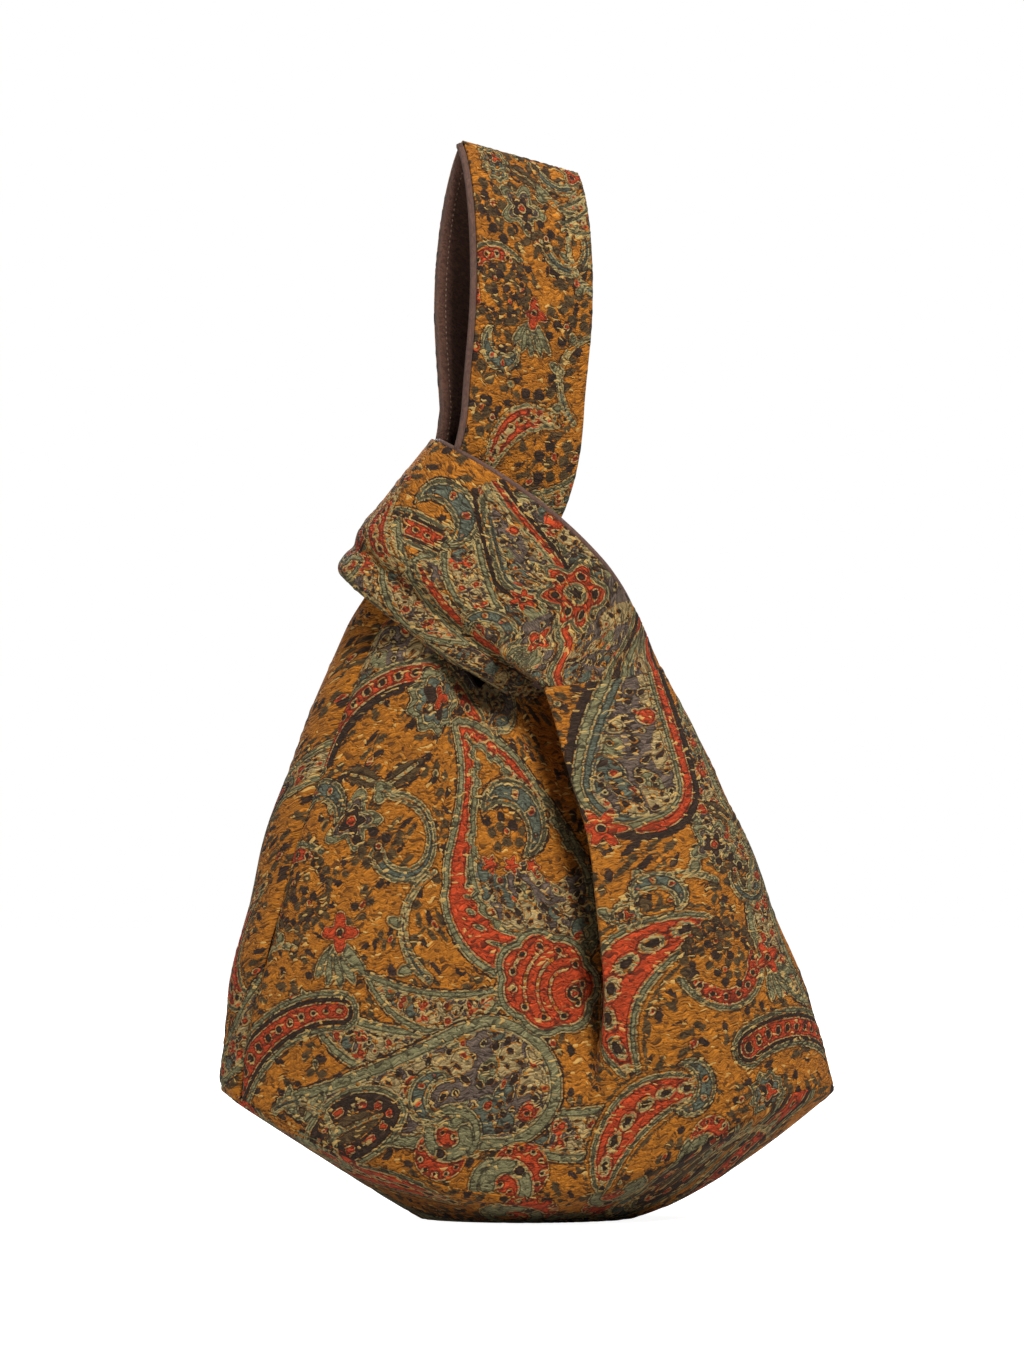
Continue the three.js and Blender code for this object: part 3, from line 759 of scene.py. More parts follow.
def times(tree, first, second):
    """The product of two values."""
    return maths(tree, "MULTIPLY", first, second)


def plus(tree, first, second):
    """The sum of two values."""
    return maths(tree, "ADD", first, second)


def noise(tree, place, scale, detail):
    """A soft cloudy value."""
    inputs = {"Vector": place, "Scale": scale, "Detail": detail}
    return add_node(tree, "ShaderNodeTexNoise", inputs).outputs[0]


def grey(tree, value):
    """A value as a colour."""
    return add_node(tree, "ShaderNodeCombineColor", {0: value, 1: value, 2: value}).outputs[0]


def ramp(tree, value, low, high, to_low=0.0, to_high=1.0):
    """A value brought from one range to another, and held at its ends."""
    inputs = {0: value, 1: low, 2: high, 3: to_low, 4: to_high}
    return add_node(tree, "ShaderNodeMapRange", inputs).outputs[0]


def mix(tree, factor, first, second, blend="MIX"):
    """Two colours mixed by a factor."""
    inputs = {0: factor, 6: first, 7: second}
    return add_node(tree, "ShaderNodeMix", inputs, data_type="RGBA", blend_type=blend).outputs[2]


# %% Yarn floats shared by the cloths
SWAY_SCALE, SWAY_DETAIL, SWAY_HEIGHT = 0.16, 1, 6.0
FLOAT_CORE, FLOAT_RIM = 0.15, 0.75


def make_float_group():
    """Cells of yarn: Length and Width of a float in millimetres give Height and three random shades."""
    group = bpy.data.node_groups.new("yarn_floats", "ShaderNodeTree")
    interface = group.interface
    results = ("Height", "Shade", "Shift", "Speck")
    interface.new_socket("Place", in_out="INPUT", socket_type="NodeSocketVector")
    for name in ("Length", "Width"):
        interface.new_socket(name, in_out="INPUT", socket_type="NodeSocketFloat")
    for name in results:
        interface.new_socket(name, in_out="OUTPUT", socket_type="NodeSocketFloat")
    start = group.nodes.new("NodeGroupInput").outputs
    end = group.nodes.new("NodeGroupOutput").inputs
    place = add_node(group, "ShaderNodeSeparateXYZ", {0: start["Place"]}).outputs
    lift = times(group, noise(group, start["Place"], SWAY_SCALE, SWAY_DETAIL), SWAY_HEIGHT)
    x = maths(group, "DIVIDE", plus(group, place[0], lift), start["Length"])
    y = maths(group, "DIVIDE", plus(group, place[1], lift), start["Width"])
    inputs = {"Vector": add_node(group, "ShaderNodeCombineXYZ", {0: x, 1: y}).outputs[0], "Scale": 1.0}
    cells = add_node(group, "ShaderNodeTexVoronoi", inputs, voronoi_dimensions="2D").outputs
    shades = add_node(group, "ShaderNodeSeparateColor", {0: cells["Color"]}).outputs
    height = ramp(group, cells["Distance"], FLOAT_CORE, FLOAT_RIM, 1.0, 0.0)
    for name, value in zip(results, (height, *shades)):
        group.links.new(value, end[name])
    return group


FLOATS = make_float_group()


def floats(tree, place, length, width):
    """The shared yarn cells, placed in a material with its own float size."""
    inputs = {"Place": place, "Length": length, "Width": width}
    return add_node(tree, "ShaderNodeGroup", inputs, node_tree=FLOATS).outputs


# %% Finishes
SPECULAR, SHEEN_ROUGHNESS = 0.15, 0.6


def start_material(name, roughness, sheen):
    """A material with a matt, slightly furry surface."""
    material = bpy.data.materials.new(f"{name}_finish")
    material["slot"] = name
    material.use_nodes = True
    shader = material.node_tree.nodes["Principled BSDF"]
    shader.inputs["Roughness"].default_value = roughness
    shader.inputs["Specular IOR Level"].default_value = SPECULAR
    shader.inputs["Sheen Weight"].default_value = sheen
    shader.inputs["Sheen Roughness"].default_value = SHEEN_ROUGHNESS
    return material, material.node_tree, shader


def attribute(tree, name, output):
    """A value that a piece keeps for each of its vertices."""
    return add_node(tree, "ShaderNodeAttribute", attribute_name=name).outputs[output]


def cloth_tone(tree, place, shade, shade_share, broad_share, scale, detail):
    """The floats' own shades and a soft broad change, added by their shares."""
    broad = noise(tree, place, scale, detail)
    return plus(tree, times(tree, shade, shade_share), times(tree, broad, broad_share))


def add_relief(tree, shader, height, strength, depth):
    """Bumps on a surface, as deep as depth in metres."""
    inputs = {"Strength": strength, "Distance": depth, "Height": height}
    tree.links.new(add_node(tree, "ShaderNodeBump", inputs).outputs[0], shader.inputs["Normal"])


YARN_COLOURS = {
    "violet": linear(90, 75, 64),
    "slate": linear(82, 85, 70),
    "sage": linear(114, 107, 74),
    "olive": linear(74, 56, 32),
    "cream": linear(150, 127, 84),
    "dark": linear(50, 35, 25),
    "red": linear(164, 58, 24),
}
OUTLINED = ("violet", "sage", "red")
OCHRE_LIGHT, OCHRE_DEEP = linear(176, 108, 28), linear(108, 62, 15)
GOLD_SPECK, STITCH_COLOUR, GAP_COLOUR = linear(196, 156, 86), linear(152, 132, 84), linear(34, 22, 13)
EDGE_SOFTNESS = 0.14
YARN_FLOAT, TWIST_FLOAT = (2.2, 0.9), (1.0, 0.42)
# Shares of the floats' shade and of the broad change, then the scale and detail of that change
GROUND_TONE, PLAIN_TONE = (0.6, 0.5, 0.05, 3), (0.55, 0.45, 0.06, 4)
SHADE_RANGE, GRAIN_RANGE, SHIFT_RANGE = (0.6, 1.25), (0.68, 1.34), (-0.5, 0.5)
LINE_WOBBLE, LINE_EDGES, LINE_STRENGTH = 0.5, (0.38, 0.22), 0.85
DASH_EDGES = (0.45, 0.5)
SHADOW_PLACE, SHADOW_EDGES, SHADOW_STRENGTH = 0.7, (0.15, 0.45), 0.7
SPECK_EDGES, FLECK_EDGES, SPOT_STRENGTH = (0.962, 0.97), (0.13, 0.09), 0.7
GAP_HEIGHTS, GAP_EDGES, GAP_STRENGTH = (0.32, 0.05), (0.45, 0.6), 0.75
SHADE_RELIEF, LINE_RELIEF, TWIST_RELIEF = 0.5, 0.5, 0.4
TAPESTRY_BUMP, TAPESTRY_BUMP_DEPTH, PLAIN_BUMP = 0.8, 0.0005, 0.6


def make_tapestry():
    """Ochre ground under seven yarns, pale outline stitches with a dark side, and floats all over."""
    material, tree, shader = start_material("tapestry", 0.85, 0.02)
    place = attribute(tree, "cloth", "Vector")
    yarn = floats(tree, place, *YARN_FLOAT)
    twist = floats(tree, place, *TWIST_FLOAT)
    colour = mix(tree, cloth_tone(tree, place, yarn["Shade"], *GROUND_TONE), OCHRE_DEEP, OCHRE_LIGHT)
    shift = ramp(tree, yarn["Shift"], 0, 1, *SHIFT_RANGE)
    line_shift = times(tree, shift, LINE_WOBBLE)
    shade = grey(tree, ramp(tree, yarn["Shade"], 0, 1, *SHADE_RANGE))
    line = FAR
    for name, yarn_colour in YARN_COLOURS.items():
        distance = attribute(tree, name, "Fac")
        cover = ramp(tree, plus(tree, distance, shift), EDGE_SOFTNESS, -EDGE_SOFTNESS)
        colour = mix(tree, cover, colour, mix(tree, 1.0, yarn_colour, shade, "MULTIPLY"))
        if name in OUTLINED:
            edge = maths(tree, "ABSOLUTE", plus(tree, distance, line_shift))
            line = maths(tree, "MINIMUM", line, edge)
    beside = maths(tree, "ABSOLUTE", maths(tree, "SUBTRACT", line, SHADOW_PLACE))
    colour = mix(tree, ramp(tree, beside, *SHADOW_EDGES, SHADOW_STRENGTH, 0.0), colour, GAP_COLOUR)
    on_line = times(tree, ramp(tree, line, *LINE_EDGES), ramp(tree, yarn["Speck"], *DASH_EDGES))
    colour = mix(tree, times(tree, on_line, LINE_STRENGTH), colour, STITCH_COLOUR)
    grain = grey(tree, ramp(tree, twist["Shade"], 0, 1, *GRAIN_RANGE))
    colour = mix(tree, 1.0, colour, grain, "MULTIPLY")
    specks = ramp(tree, yarn["Speck"], *SPECK_EDGES, 0.0, SPOT_STRENGTH)
    colour = mix(tree, specks, colour, GOLD_SPECK)
    flecks = ramp(tree, yarn["Speck"], *FLECK_EDGES, 0.0, SPOT_STRENGTH)
    gaps = times(tree, ramp(tree, yarn["Height"], *GAP_HEIGHTS), ramp(tree, yarn["Shift"], *GAP_EDGES))
    dark = maths(tree, "MAXIMUM", flecks, times(tree, gaps, GAP_STRENGTH))
    colour = mix(tree, dark, colour, GAP_COLOUR)
    tree.links.new(colour, shader.inputs["Base Color"])
    relief = plus(tree, yarn["Height"], times(tree, yarn["Shade"], SHADE_RELIEF))
    relief = plus(tree, relief, times(tree, on_line, LINE_RELIEF))
    relief = plus(tree, relief, times(tree, twist["Height"], TWIST_RELIEF))
    add_relief(tree, shader, relief, TAPESTRY_BUMP, TAPESTRY_BUMP_DEPTH)
    return material


def make_plain_cloth(name, colours, float_size, roughness, sheen, relief):
    """A cloth of one colour: small floats that differ in shade, with a soft broad change of tone."""
    material, tree, shader = start_material(name, roughness, sheen)
    place = attribute(tree, "cloth", "Vector")
    yarn = floats(tree, place, *float_size)
    tone = cloth_tone(tree, place, yarn["Shade"], *PLAIN_TONE)
    tree.links.new(mix(tree, tone, *colours), shader.inputs["Base Color"])
    add_relief(tree, shader, yarn["Height"], PLAIN_BUMP, relief * MM)
    return material


TAPESTRY = make_tapestry()
LINING = make_plain_cloth(
    "lining", (linear(58, 37, 29), linear(108, 75, 60)), (1.1, 0.7), 0.9, 0.06, 0.25
)
FELT = make_plain_cloth(
    "interlining", (linear(190, 182, 166), linear(226, 220, 206)), (3.0, 2.4), 0.95, 0.3, 0.3
)
PIPING = make_plain_cloth(
    "piping", (linear(60, 41, 33), linear(102, 73, 60)), (1.3, 0.6), 0.7, 0.1, 0.2
)
THREAD = make_plain_cloth(
    "thread", (linear(120, 92, 74), linear(164, 132, 108)), (1.3, 0.6), 0.7, 0.1, 0.1
)
print("materials:", [material.name for material in bpy.data.materials])

# %% [markdown]
# ## Cutting and sewing
# Each stretch of the bag has three layers: tapestry outside, felt between, lining inside. The felt and
# the lining follow the tapestry's face at a depth. A sewn edge is drawn in towards the stitches, which
# makes the shadow line of a seam, and yarn that lies on the ground lifts the surface a little.

# %% Layers of cloth
OUTER_DEPTH = 1.4
FELT_DEPTHS = (1.7, 2.9)
LINING_DEPTHS = (3.2, 4.0)
COARSE = 4
YARN_RELIEF, YARN_EDGE = 0.3, (-0.2, 1.2)


def drawn_in(points, bottom=0.0, top=0.0, left=0.0, right=0.0, width=3.0):
    """Points pulled in along their normals near sewn edges, by depth * exp(-(distance / width)^2)."""
    up, over = lengths(points, 0), lengths(points, 1)
    pulls = [bottom * hump(up, 0, width), top * hump(up[-1:] - up, 0, width)]
    pulls += [left * hump(over, 0, width), right * hump(over[:, -1:] - over, 0, width)]
    return points - np.max(pulls, 0)[..., None] * normals(points, 2)


def slack(u, v):
    """Soft hand-sewn unevenness: three slow waves that cross each other."""
    return np.sin(u / 13 + v / 29) + np.sin(v / 11 - u / 37 + 1) + np.sin(u / 23 - v / 17 + 2)


def raised(face, fields):
    """A face lifted where any yarn covers its ground."""
    cover = np.min([fields[yarn] for yarn in YARNS], 0).reshape(face.shape[:2])
    lift = YARN_RELIEF * smoothstep(-cover, *YARN_EDGE)
    return face + lift[..., None] * normals(face, 1)


def sheet_piece(name, outside, inside, stride, places, material, fields=()):
    """A closed sheet with its places on the flat cloth, its yarn fields and its finish."""
    piece = closed_sheet(name, outside, inside, stride)
    flat = np.concatenate([places.reshape(-1, 2), places[::stride, ::stride].reshape(-1, 2)])
    store(piece, "cloth", np.pad(flat, ((0, 0), (0, 1))))
    for yarn, values in dict(fields).items():
        values = values.reshape(outside.shape[:2])
        store(piece, yarn, np.concatenate([values.ravel(), values[::stride, ::stride].ravel()]))
    piece.data.materials.append(material)
    return piece


def sewn_layers(name, face, places, fields, lining_face=None):
    """Tapestry, felt and lining of one stretch, and the face that each is cut to.

    Felt and lining may follow a face of their own.
    """
    lining_face = face if lining_face is None else lining_face
    backing = (face - OUTER_DEPTH * normals(face, 4))[::COARSE, ::COARSE]
    outside = raised(face, fields)
    cloth = sheet_piece(f"{name}_cloth", outside, backing, COARSE, places, TAPESTRY, fields)
    coarse, coarse_places = lining_face[::COARSE, ::COARSE], places[::COARSE, ::COARSE]
    inward = -normals(lining_face, 8)[::COARSE, ::COARSE]
    outer, inner = (coarse + depth * inward for depth in FELT_DEPTHS)
    cut = np.s_[1:-1, 1:-1]
    felt = sheet_piece(f"{name}_felt", outer[cut], inner[cut], 1, coarse_places[cut], FELT)
    felt_face = outer[cut]
    outer, inner = ((coarse + depth * inward)[:, ::-1] for depth in LINING_DEPTHS)
    lining = sheet_piece(f"{name}_lining_cloth", inner, outer, 1, coarse_places[:, ::-1], LINING)
    return (cloth, felt, lining), (face, felt_face, outer)


def body_stretch(name, face, places, fields, lining_face):
    """The three layers of a panel or of the base, which all ride on the bag."""
    layers, faces = sewn_layers(name, face, places, fields, lining_face)
    for piece, layer in zip(layers, ("panel", "interlining", "lining")):
        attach(piece, "bag")
        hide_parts(f"{name}_{layer}")


def interpolated(wanted, known, values):
    """Points or directions between those that are known along a line."""
    return np.stack([np.interp(wanted, known, values[:, axis]) for axis in range(3)], -1)


# %% [markdown]
# ## Front and back panels
# The left side seam lies a little round to the front, so a strip of the back panel shows beside it.
# Rows run from the base seam to the top edge and columns follow the angle round the pouch.

# %% Panel surfaces
LEFT_SEAM_FOOT, LEFT_SEAM_TOP = 0.36, 0.64
SEAM_PULL, SIDE_PULL = 2.2, 0.8
LINING_INSET, LINING_FOLD_REACH = 0.2, (0.3, 0.9)
SLACK_HEIGHT = 0.45
LINING_GAP = 2.0
FRONT_ROWS, FRONT_COLUMNS = 224, 400
BACK_ROWS, BACK_COLUMNS = 168, 320
EDGE_PROBE = 6


def panel_face(rows, columns, is_front):
    """A panel's face, its places on the flat cloth, walked from the middle column, and its lining.

    On the pleat's wall the places are walked back from the ridge, so the pattern runs into the fold.
    """
    across, along = grid(rows, columns)
    left_seam = lerp(LEFT_SEAM_FOOT, LEFT_SEAM_TOP, along)
    start, end = (left_seam, np.pi) if is_front else (np.pi, 2 * np.pi + left_seam)
    angle = lerp(start, end, across)
    seam_z = base_seam_z(angle)
    z = lerp(seam_z, top_edge_z(angle), along)
    smooth = pouch_point(angle, z, no_fold)
    over, up = lengths(smooth, 1), lengths(smooth, 0)
    face = pouch_point(angle, z)
    _, beside, _ = fold_frame(smooth[..., 0], z)
    taken_up = lengths(face, 1) - over
    at_ridge = np.take_along_axis(taken_up, (beside > 0).argmax(1)[:, None], 1)
    on_wall = (beside > -FOLD_WALL) & (beside <= 0)
    flat_x = over - over[:, columns // 2, None] + np.where(on_wall, taken_up - at_ridge, 0)
    places = np.stack([flat_x, up + seam_z], -1)
    face = face + (SLACK_HEIGHT * slack(*np.moveaxis(places, -1, 0)))[..., None] * normals(face, 2)
    inset_angle = lerp(start + LINING_INSET, end - LINING_INSET, across)
    lining = pouch_point(inset_angle, z, lining_fold, LINING_FOLD_REACH)
    lining = lining - LINING_GAP * normals(lining, 2)
    left_pull, right_pull = (SEAM_PULL, SIDE_PULL) if is_front else (SIDE_PULL, SEAM_PULL)
    return drawn_in(face, SEAM_PULL, 0.0, left_pull, right_pull), places, drawn_in(lining, SEAM_PULL)


front_face, front_places, front_lining = panel_face(FRONT_ROWS, FRONT_COLUMNS, True)
back_face, back_places, back_lining = panel_face(BACK_ROWS, BACK_COLUMNS, False)
front_angles = lerp(LEFT_SEAM_TOP, np.pi, np.linspace(0, 1, FRONT_COLUMNS + 1))
back_angles = lerp(np.pi, 2 * np.pi + LEFT_SEAM_TOP, np.linspace(0, 1, BACK_COLUMNS + 1))
edge_angle = np.concatenate([front_angles, back_angles[1:]])
edge_points = np.concatenate([front_face[-1], back_face[-1, 1:]])
front_slopes = front_face[-2] - front_face[-EDGE_PROBE]
back_slopes = back_face[-2] - back_face[-EDGE_PROBE]
edge_slopes = unit(np.concatenate([front_slopes, back_slopes[1:]]))


def panel_top(angle):
    """The sewn top edge of the panels at an angle round the pouch, and the cloth's direction there."""
    angle = angle % (2 * np.pi)
    angle = np.where(angle < LEFT_SEAM_TOP, angle + 2 * np.pi, angle)
    slope = unit(interpolated(angle, edge_angle, edge_slopes))
    return interpolated(angle, edge_angle, edge_points), slope


SEEN_LIMIT = 0.1


def placed_from_front(face, places, motifs):
    """Motifs whose centres are given as seen from the front, moved to places on the flat cloth."""
    faces_front = normals(face)[..., 1] < SEEN_LIMIT
    seen, flat = face[faces_front][:, [0, 2]], places[faces_front]
    moved = []
    for motif, centre, *way in motifs:
        nearest = np.square(seen - centre).sum(1).argmin()
        moved.append((motif, flat[nearest], *way))
    return moved


def painted(places, motifs):
    """The yarn fields of a cloth with its motifs drawn in turn."""
    cloth = Cloth(places.reshape(-1, 2))
    cloth.draw(sprig_ground, (0, 0), 0, 1, np.inf)
    for motif in motifs:
        cloth.draw(*motif)
    return cloth.fields


# %% Motifs of the body
# Each row has a motif, its centre as seen from the front, its turn in degrees, size and reach
FRONT_MOTIFS = (
    (hood, (-62, 246), 0, 1.0, 90),
    (tendril, (-122, 116), 40, 0.9),
    (tendril, (60, 152), 30, 1.0),
    (tendril, (104, 200), 110, 0.9),
    (tendril, (-50, 138), 84, 0.95),
    (crescent, (96, 206), -58, 1.25, 75),
    (crescent, (120, 142), -66, 1.1),
    (crescent, (-66, 98), 6, 1.05),
    (crescent, (-40, 112), 14, 0.9),
    (crescent, (24, 60), 20, 1.15),
    (arch, (-106, 76), -18, 1.1),
    (arch, (126, 76), -48, 1.0),
    (red_crescent, (61, 110), 0, 1.1),
    (red_crescent, (60, 46), -16, 0.9),
    (ring, (-105, 153), 0, 0.95),
    (ring, (91, 121), 150, 1.0),
    (rosette, (-40, 241), 0, 1.1),
    (big_drop, (-4, 152), 0, 1.12, 130),
    (plain_drop, (51, 203), 0, 1.2, 75),
    (grey_drop, (-14, 66), 104, 1.4, 80),
    (shell, (10, 112), 0, 1.15),
    (spray, (-68, 186), 0, 1.15),
    (spray, (96, 172), -12, 1.0),
    (leaf_fan, (-85, 134), 0, 1.25),
    (leaf_fan, (112, 122), 30, 1.1),
    (curl_leaf, (55, 156), 20, 0.8),
    (eye, (-77, 43), 0, 1.2),
    (spiral, (-2, 26), 0, 1.1),
    (spiral, (-38, 34), 200, 1.0),
    (curl_leaf, (-46, 54), 120, 0.9),
    (rosette, (112, 60), 0, 0.8),
    (curl_leaf, (80, 70), -60, 1.0),
    (curl_leaf, (-112, 200), 30, 1.0),
    (tendril, (-98, 50), -30, 0.8),
    (spiral, (88, 34), 20, 1.0),
    (rosette, (46, 142), 0, 0.45),
)
front_fields = painted(front_places, placed_from_front(front_face, front_places, FRONT_MOTIFS))
LEFT_STRIP_MOTIFS = (
    (crescent, (-96, 222), 60, 1.0),
    (arch, (-122, 168), 60, 1.1),
    (red_crescent, (-130, 128), 60, 0.8),
    (crescent, (-137, 92), 78, 1.0),
)
BACK_SHIFT_X, BACK_SHIFT_Z = -20, 8
back_motifs = [
    (motif, (x + BACK_SHIFT_X, z + BACK_SHIFT_Z), *way) for motif, (x, z), *way in FRONT_MOTIFS
]
back_motifs += placed_from_front(back_face, back_places, LEFT_STRIP_MOTIFS)
back_fields = painted(back_places, back_motifs)

# %% Panel pieces
body_stretch("front", front_face, front_places, front_fields, front_lining)
body_stretch("back", back_face, back_places, back_fields, back_lining)

# %% [markdown]
# ## Base
# The base is a boat-shaped piece whose middle sags flat on the floor. A round piece as rings would
# need a pole in the middle, so the rows run from tip to tip across a disc, which is stretched to the
# base seam.

# %% Base surface
FLAT_HALF_LENGTH, FLAT_HALF_DEPTH, FLAT_SHARE = 48.0, 32.0, 0.36
SAG_POWER_LEFT, SAG_POWER_RIGHT = 1.05, 1.4
TIP_INSET, LINING_TIP_INSET = 0.06, 0.42
BASE_ROWS, BASE_COLUMNS = 120, 240
BASE_PLACE_SHIFT, BASE_MOTIF_SHIFT = (0, -20), 60


def base_face(rows, columns, tip_inset):
    """A disc of radius 1, flat inside FLAT_SHARE and rising to the base seam as a power outside it."""
    across, along = grid(rows, columns)
    around = lerp(tip_inset, np.pi - tip_inset, across)
    x, y = -np.cos(around), (1 - 2 * along) * np.sin(around)
    radius = np.hypot(x, y)
    angle = np.arctan2(-y, -x) % (2 * np.pi)
    seam_z = base_seam_z(angle)
    rim = pouch_point(angle, seam_z)
    middle_x, middle_y = -FLAT_HALF_LENGTH * np.cos(angle), -FLAT_HALF_DEPTH * np.sin(angle)
    middle = np.stack([middle_x, middle_y, 0 * angle], -1)
    outside = np.clip((radius - FLAT_SHARE) / (1 - FLAT_SHARE), 0, 1)
    inside = np.minimum(radius / FLAT_SHARE, 1)
    face = lerp(middle * inside[..., None], rim, outside[..., None])
    face[..., 2] = seam_z * outside ** lerp(SAG_POWER_LEFT, SAG_POWER_RIGHT, (1 - np.cos(angle)) / 2)
    places = face[..., :2] * [1, -1] + BASE_PLACE_SHIFT
    return drawn_in(face, SEAM_PULL, SEAM_PULL), places


base_surface, base_places = base_face(BASE_ROWS, BASE_COLUMNS, TIP_INSET)
base_lining, _ = base_face(BASE_ROWS, BASE_COLUMNS, LINING_TIP_INSET)
base_lining = base_lining - LINING_GAP * normals(base_lining, 2)
base_motifs = [(motif, (-x, BASE_MOTIF_SHIFT - z), *way) for motif, (x, z), *way in FRONT_MOTIFS]
base_fields = painted(base_places, base_motifs)
body_stretch("base", base_surface, base_places, base_fields, base_lining)

# %% [markdown]
# ## Long handle
# The long handle is one strip that leaves the left shoulder at the front, goes up through the collar,
# over the hand and down to the shoulder at the back. It turns by 34 degrees on its way, so the camera
# sees the lining of the far strand beside the near one.

# %% Strip of the long handle
ARM_START, ARM_END = 0.012, 0.375
STRAP_WIDTH, STRAP_TURN = 64.0, np.radians(34)
FOLD_X, FOLD_Z = -6.0, 376.0
LOOP_TOP_Z, ARCH_Z = 500.0, 428.0
GAP_LOW, GAP_FULL, GAP_START, ARCH_POWER = 12.0, 18.4, 362.0, 1.4
LOOP_LEAN, LOOP_DROP = 4.5, 12.5
ARM_PULL_LOW, ARM_PULL_LEFT, ARM_PULL_RIGHT, ARM_LEAN = 14.0, 50.0, 92.0, 4.0
ARM_ROWS, STRAND_ROWS, ARCH_ROWS, STRAP_COLUMNS = 108, 52, 88, 68


def bezier(start, first, second, end, share):
    """A cubic curve from start to end with two pulls."""
    rest = 1 - share
    ends = start * rest**3 + end * share**3
    return ends + 3 * first * rest * rest * share + 3 * second * rest * share * share


def turned(wide, out, z):
    """A point of the loop: wide across the strap and out from its middle, turned about the upright."""
    x = FOLD_X + wide * np.cos(STRAP_TURN) + out * np.sin(STRAP_TURN)
    y = wide * np.sin(STRAP_TURN) - out * np.cos(STRAP_TURN)
    return np.stack([x, y, z], -1)


def half_loop():
    """One half of the loop, as out and z: a strand that swells, then an arch, a power of a cosine."""
    strand = np.linspace(FOLD_Z, ARCH_Z, STRAND_ROWS, endpoint=False)
    swell = lerp(GAP_LOW, GAP_FULL, smoothstep(strand, GAP_START, ARCH_Z))
    turn = np.linspace(0, np.pi / 2, ARCH_ROWS + 1)
    out = np.concatenate([swell, GAP_FULL * np.clip(np.cos(turn), 0, 1) ** ARCH_POWER])
    return out, np.concatenate([strand, ARCH_Z + (LOOP_TOP_Z - ARCH_Z) * np.sin(turn)])


def long_handle_face():
    """The strip's face: front arm, loop and back arm, one row after the other."""
    across = np.linspace(0, 1, STRAP_COLUMNS + 1)[None]
    out, z = half_loop()
    out = np.concatenate([out, -out[-2::-1]])[:, None]
    z = np.concatenate([z, z[-2::-1]])[:, None]
    height = np.clip((z - FOLD_Z) / (LOOP_TOP_Z - FOLD_Z), 0, 1)
    wide = (across - 0.5) * STRAP_WIDTH + LOOP_LEAN * height**2
    loop = turned(wide, out + 0 * wide, z - LOOP_DROP * height * across)
    share = np.linspace(0, 1, ARM_ROWS, endpoint=False)[:, None, None]
    arms = []
    for side, end in ((1, loop[:1]), (-1, loop[-1:])):
        angle = side * lerp(ARM_START, ARM_END, across) * np.pi
        start, slope = panel_top(angle)
        pull = lerp(ARM_PULL_LEFT, ARM_PULL_RIGHT, across)
        low = start + ARM_PULL_LOW * slope
        high = end - np.stack([ARM_LEAN + 0 * pull, 0 * pull, pull], -1)
        arms.append(bezier(start, low, high, end, share))
    return np.concatenate([arms[0], loop, arms[1][::-1]])


handle_face = long_handle_face()
over, up = lengths(handle_face, 1), lengths(handle_face, 0)
seam_column = round((LEFT_SEAM_TOP / np.pi - ARM_START) / (ARM_END - ARM_START) * STRAP_COLUMNS)
handle_places = np.stack([over - over[:, seam_column, None], up], -1) + front_places[-1, 0]
HANDLE_MOTIFS = (
    (berries, (-14, 398), 20, 1.2),
    (berries, (14, 352), 80, 1.3),
    (berries, (20, 414), 140, 1.2),
    (berries, (-8, 448), 60, 1.2),
    (berries, (6, 376), 40, 1.3),
    (berries, (-16, 372), 0, 1.2),
    (berries, (24, 434), 10, 1.3),
    (berries, (-14, 470), 100, 1.2),
    (red_crescent, (0, 362), -14, 0.55),
    (crescent, (24, 350), 60, 0.8),
    (tendril, (20, 392), 80, 0.8),
    (leaf_fan, (4, 420), 0, 1.0),
    (ring, (-12, 432), 0, 0.85),
    (spray, (8, 466), 0, 1.0),
    (tendril, (24, 446), 100, 0.7),
    (bloom, (28, 466), 0, 0.8),
    (curl_leaf, (-8, 398), 200, 0.8),
    (rosette, (-14, 488), 0, 0.55),
    (crescent, (28, 482), 60, 0.6),
)
handle_motifs = placed_from_front(handle_face, handle_places, HANDLE_MOTIFS)
FAR_SIDE_SHIFT = 540
far_top = up.max() + FAR_SIDE_SHIFT
far_side = [(motif, (place[0], far_top - place[1]), *way) for motif, place, *way in handle_motifs]
handle_fields = painted(handle_places, handle_motifs + far_side)
handle_layers, handle_faces = sewn_layers("long_handle", handle_face, handle_places, handle_fields)
stretches = ("long_handle_front_arm", "long_handle_back_arm", "carry_loop")
for piece, layer in zip(handle_layers, ("outer", "interlining", "lining")):
    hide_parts(*(f"{stretch}_{layer}" for stretch in stretches))
    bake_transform(piece)

# %% Piping and topstitching of the long handle
PIPING_RADIUS, PIPING_STEP, PIPING_TWIST = 1.7, 3, 0.9
PIPING_DEPTH, PIPING_OUT = 3.0, 0.7
HIDDEN_DEPTH, HIDDEN_OUT = 2.3, -0.9
HIDE_START, HIDE_END = 0.48, 0.56
SEWN_TRIM = 30


def edge_piping(name, face, edge, rows, hidden=0.0):
    """A cord beside an edge of a strip, a little towards its lining, or tucked in where hidden is 1."""
    hidden = np.broadcast_to(hidden, len(face))[:, None]
    depth, out = lerp(PIPING_DEPTH, HIDDEN_DEPTH, hidden), lerp(PIPING_OUT, HIDDEN_OUT, hidden)
    inner = 1 if edge == 0 else -2
    outward = unit(face[:, edge] - face[:, inner])
    path = face[:, edge] - depth * normals(face, 4)[:, edge] + out * outward
    path, outward = path[rows][::PIPING_STEP], outward[rows][::PIPING_STEP]
    piece = tube(name, path, outward, PIPING_RADIUS)
    walked = np.repeat(lengths(path[:, None], 0), TUBE_SIDES)
    around = np.tile(np.arange(TUBE_SIDES) * PIPING_TWIST, len(path))
    places = np.stack([walked + around, around, 0 * around], 1)
    store(piece, "cloth", np.concatenate([places, places[:1], places[-1:]]))
    piece.data.materials.append(PIPING)
    return piece


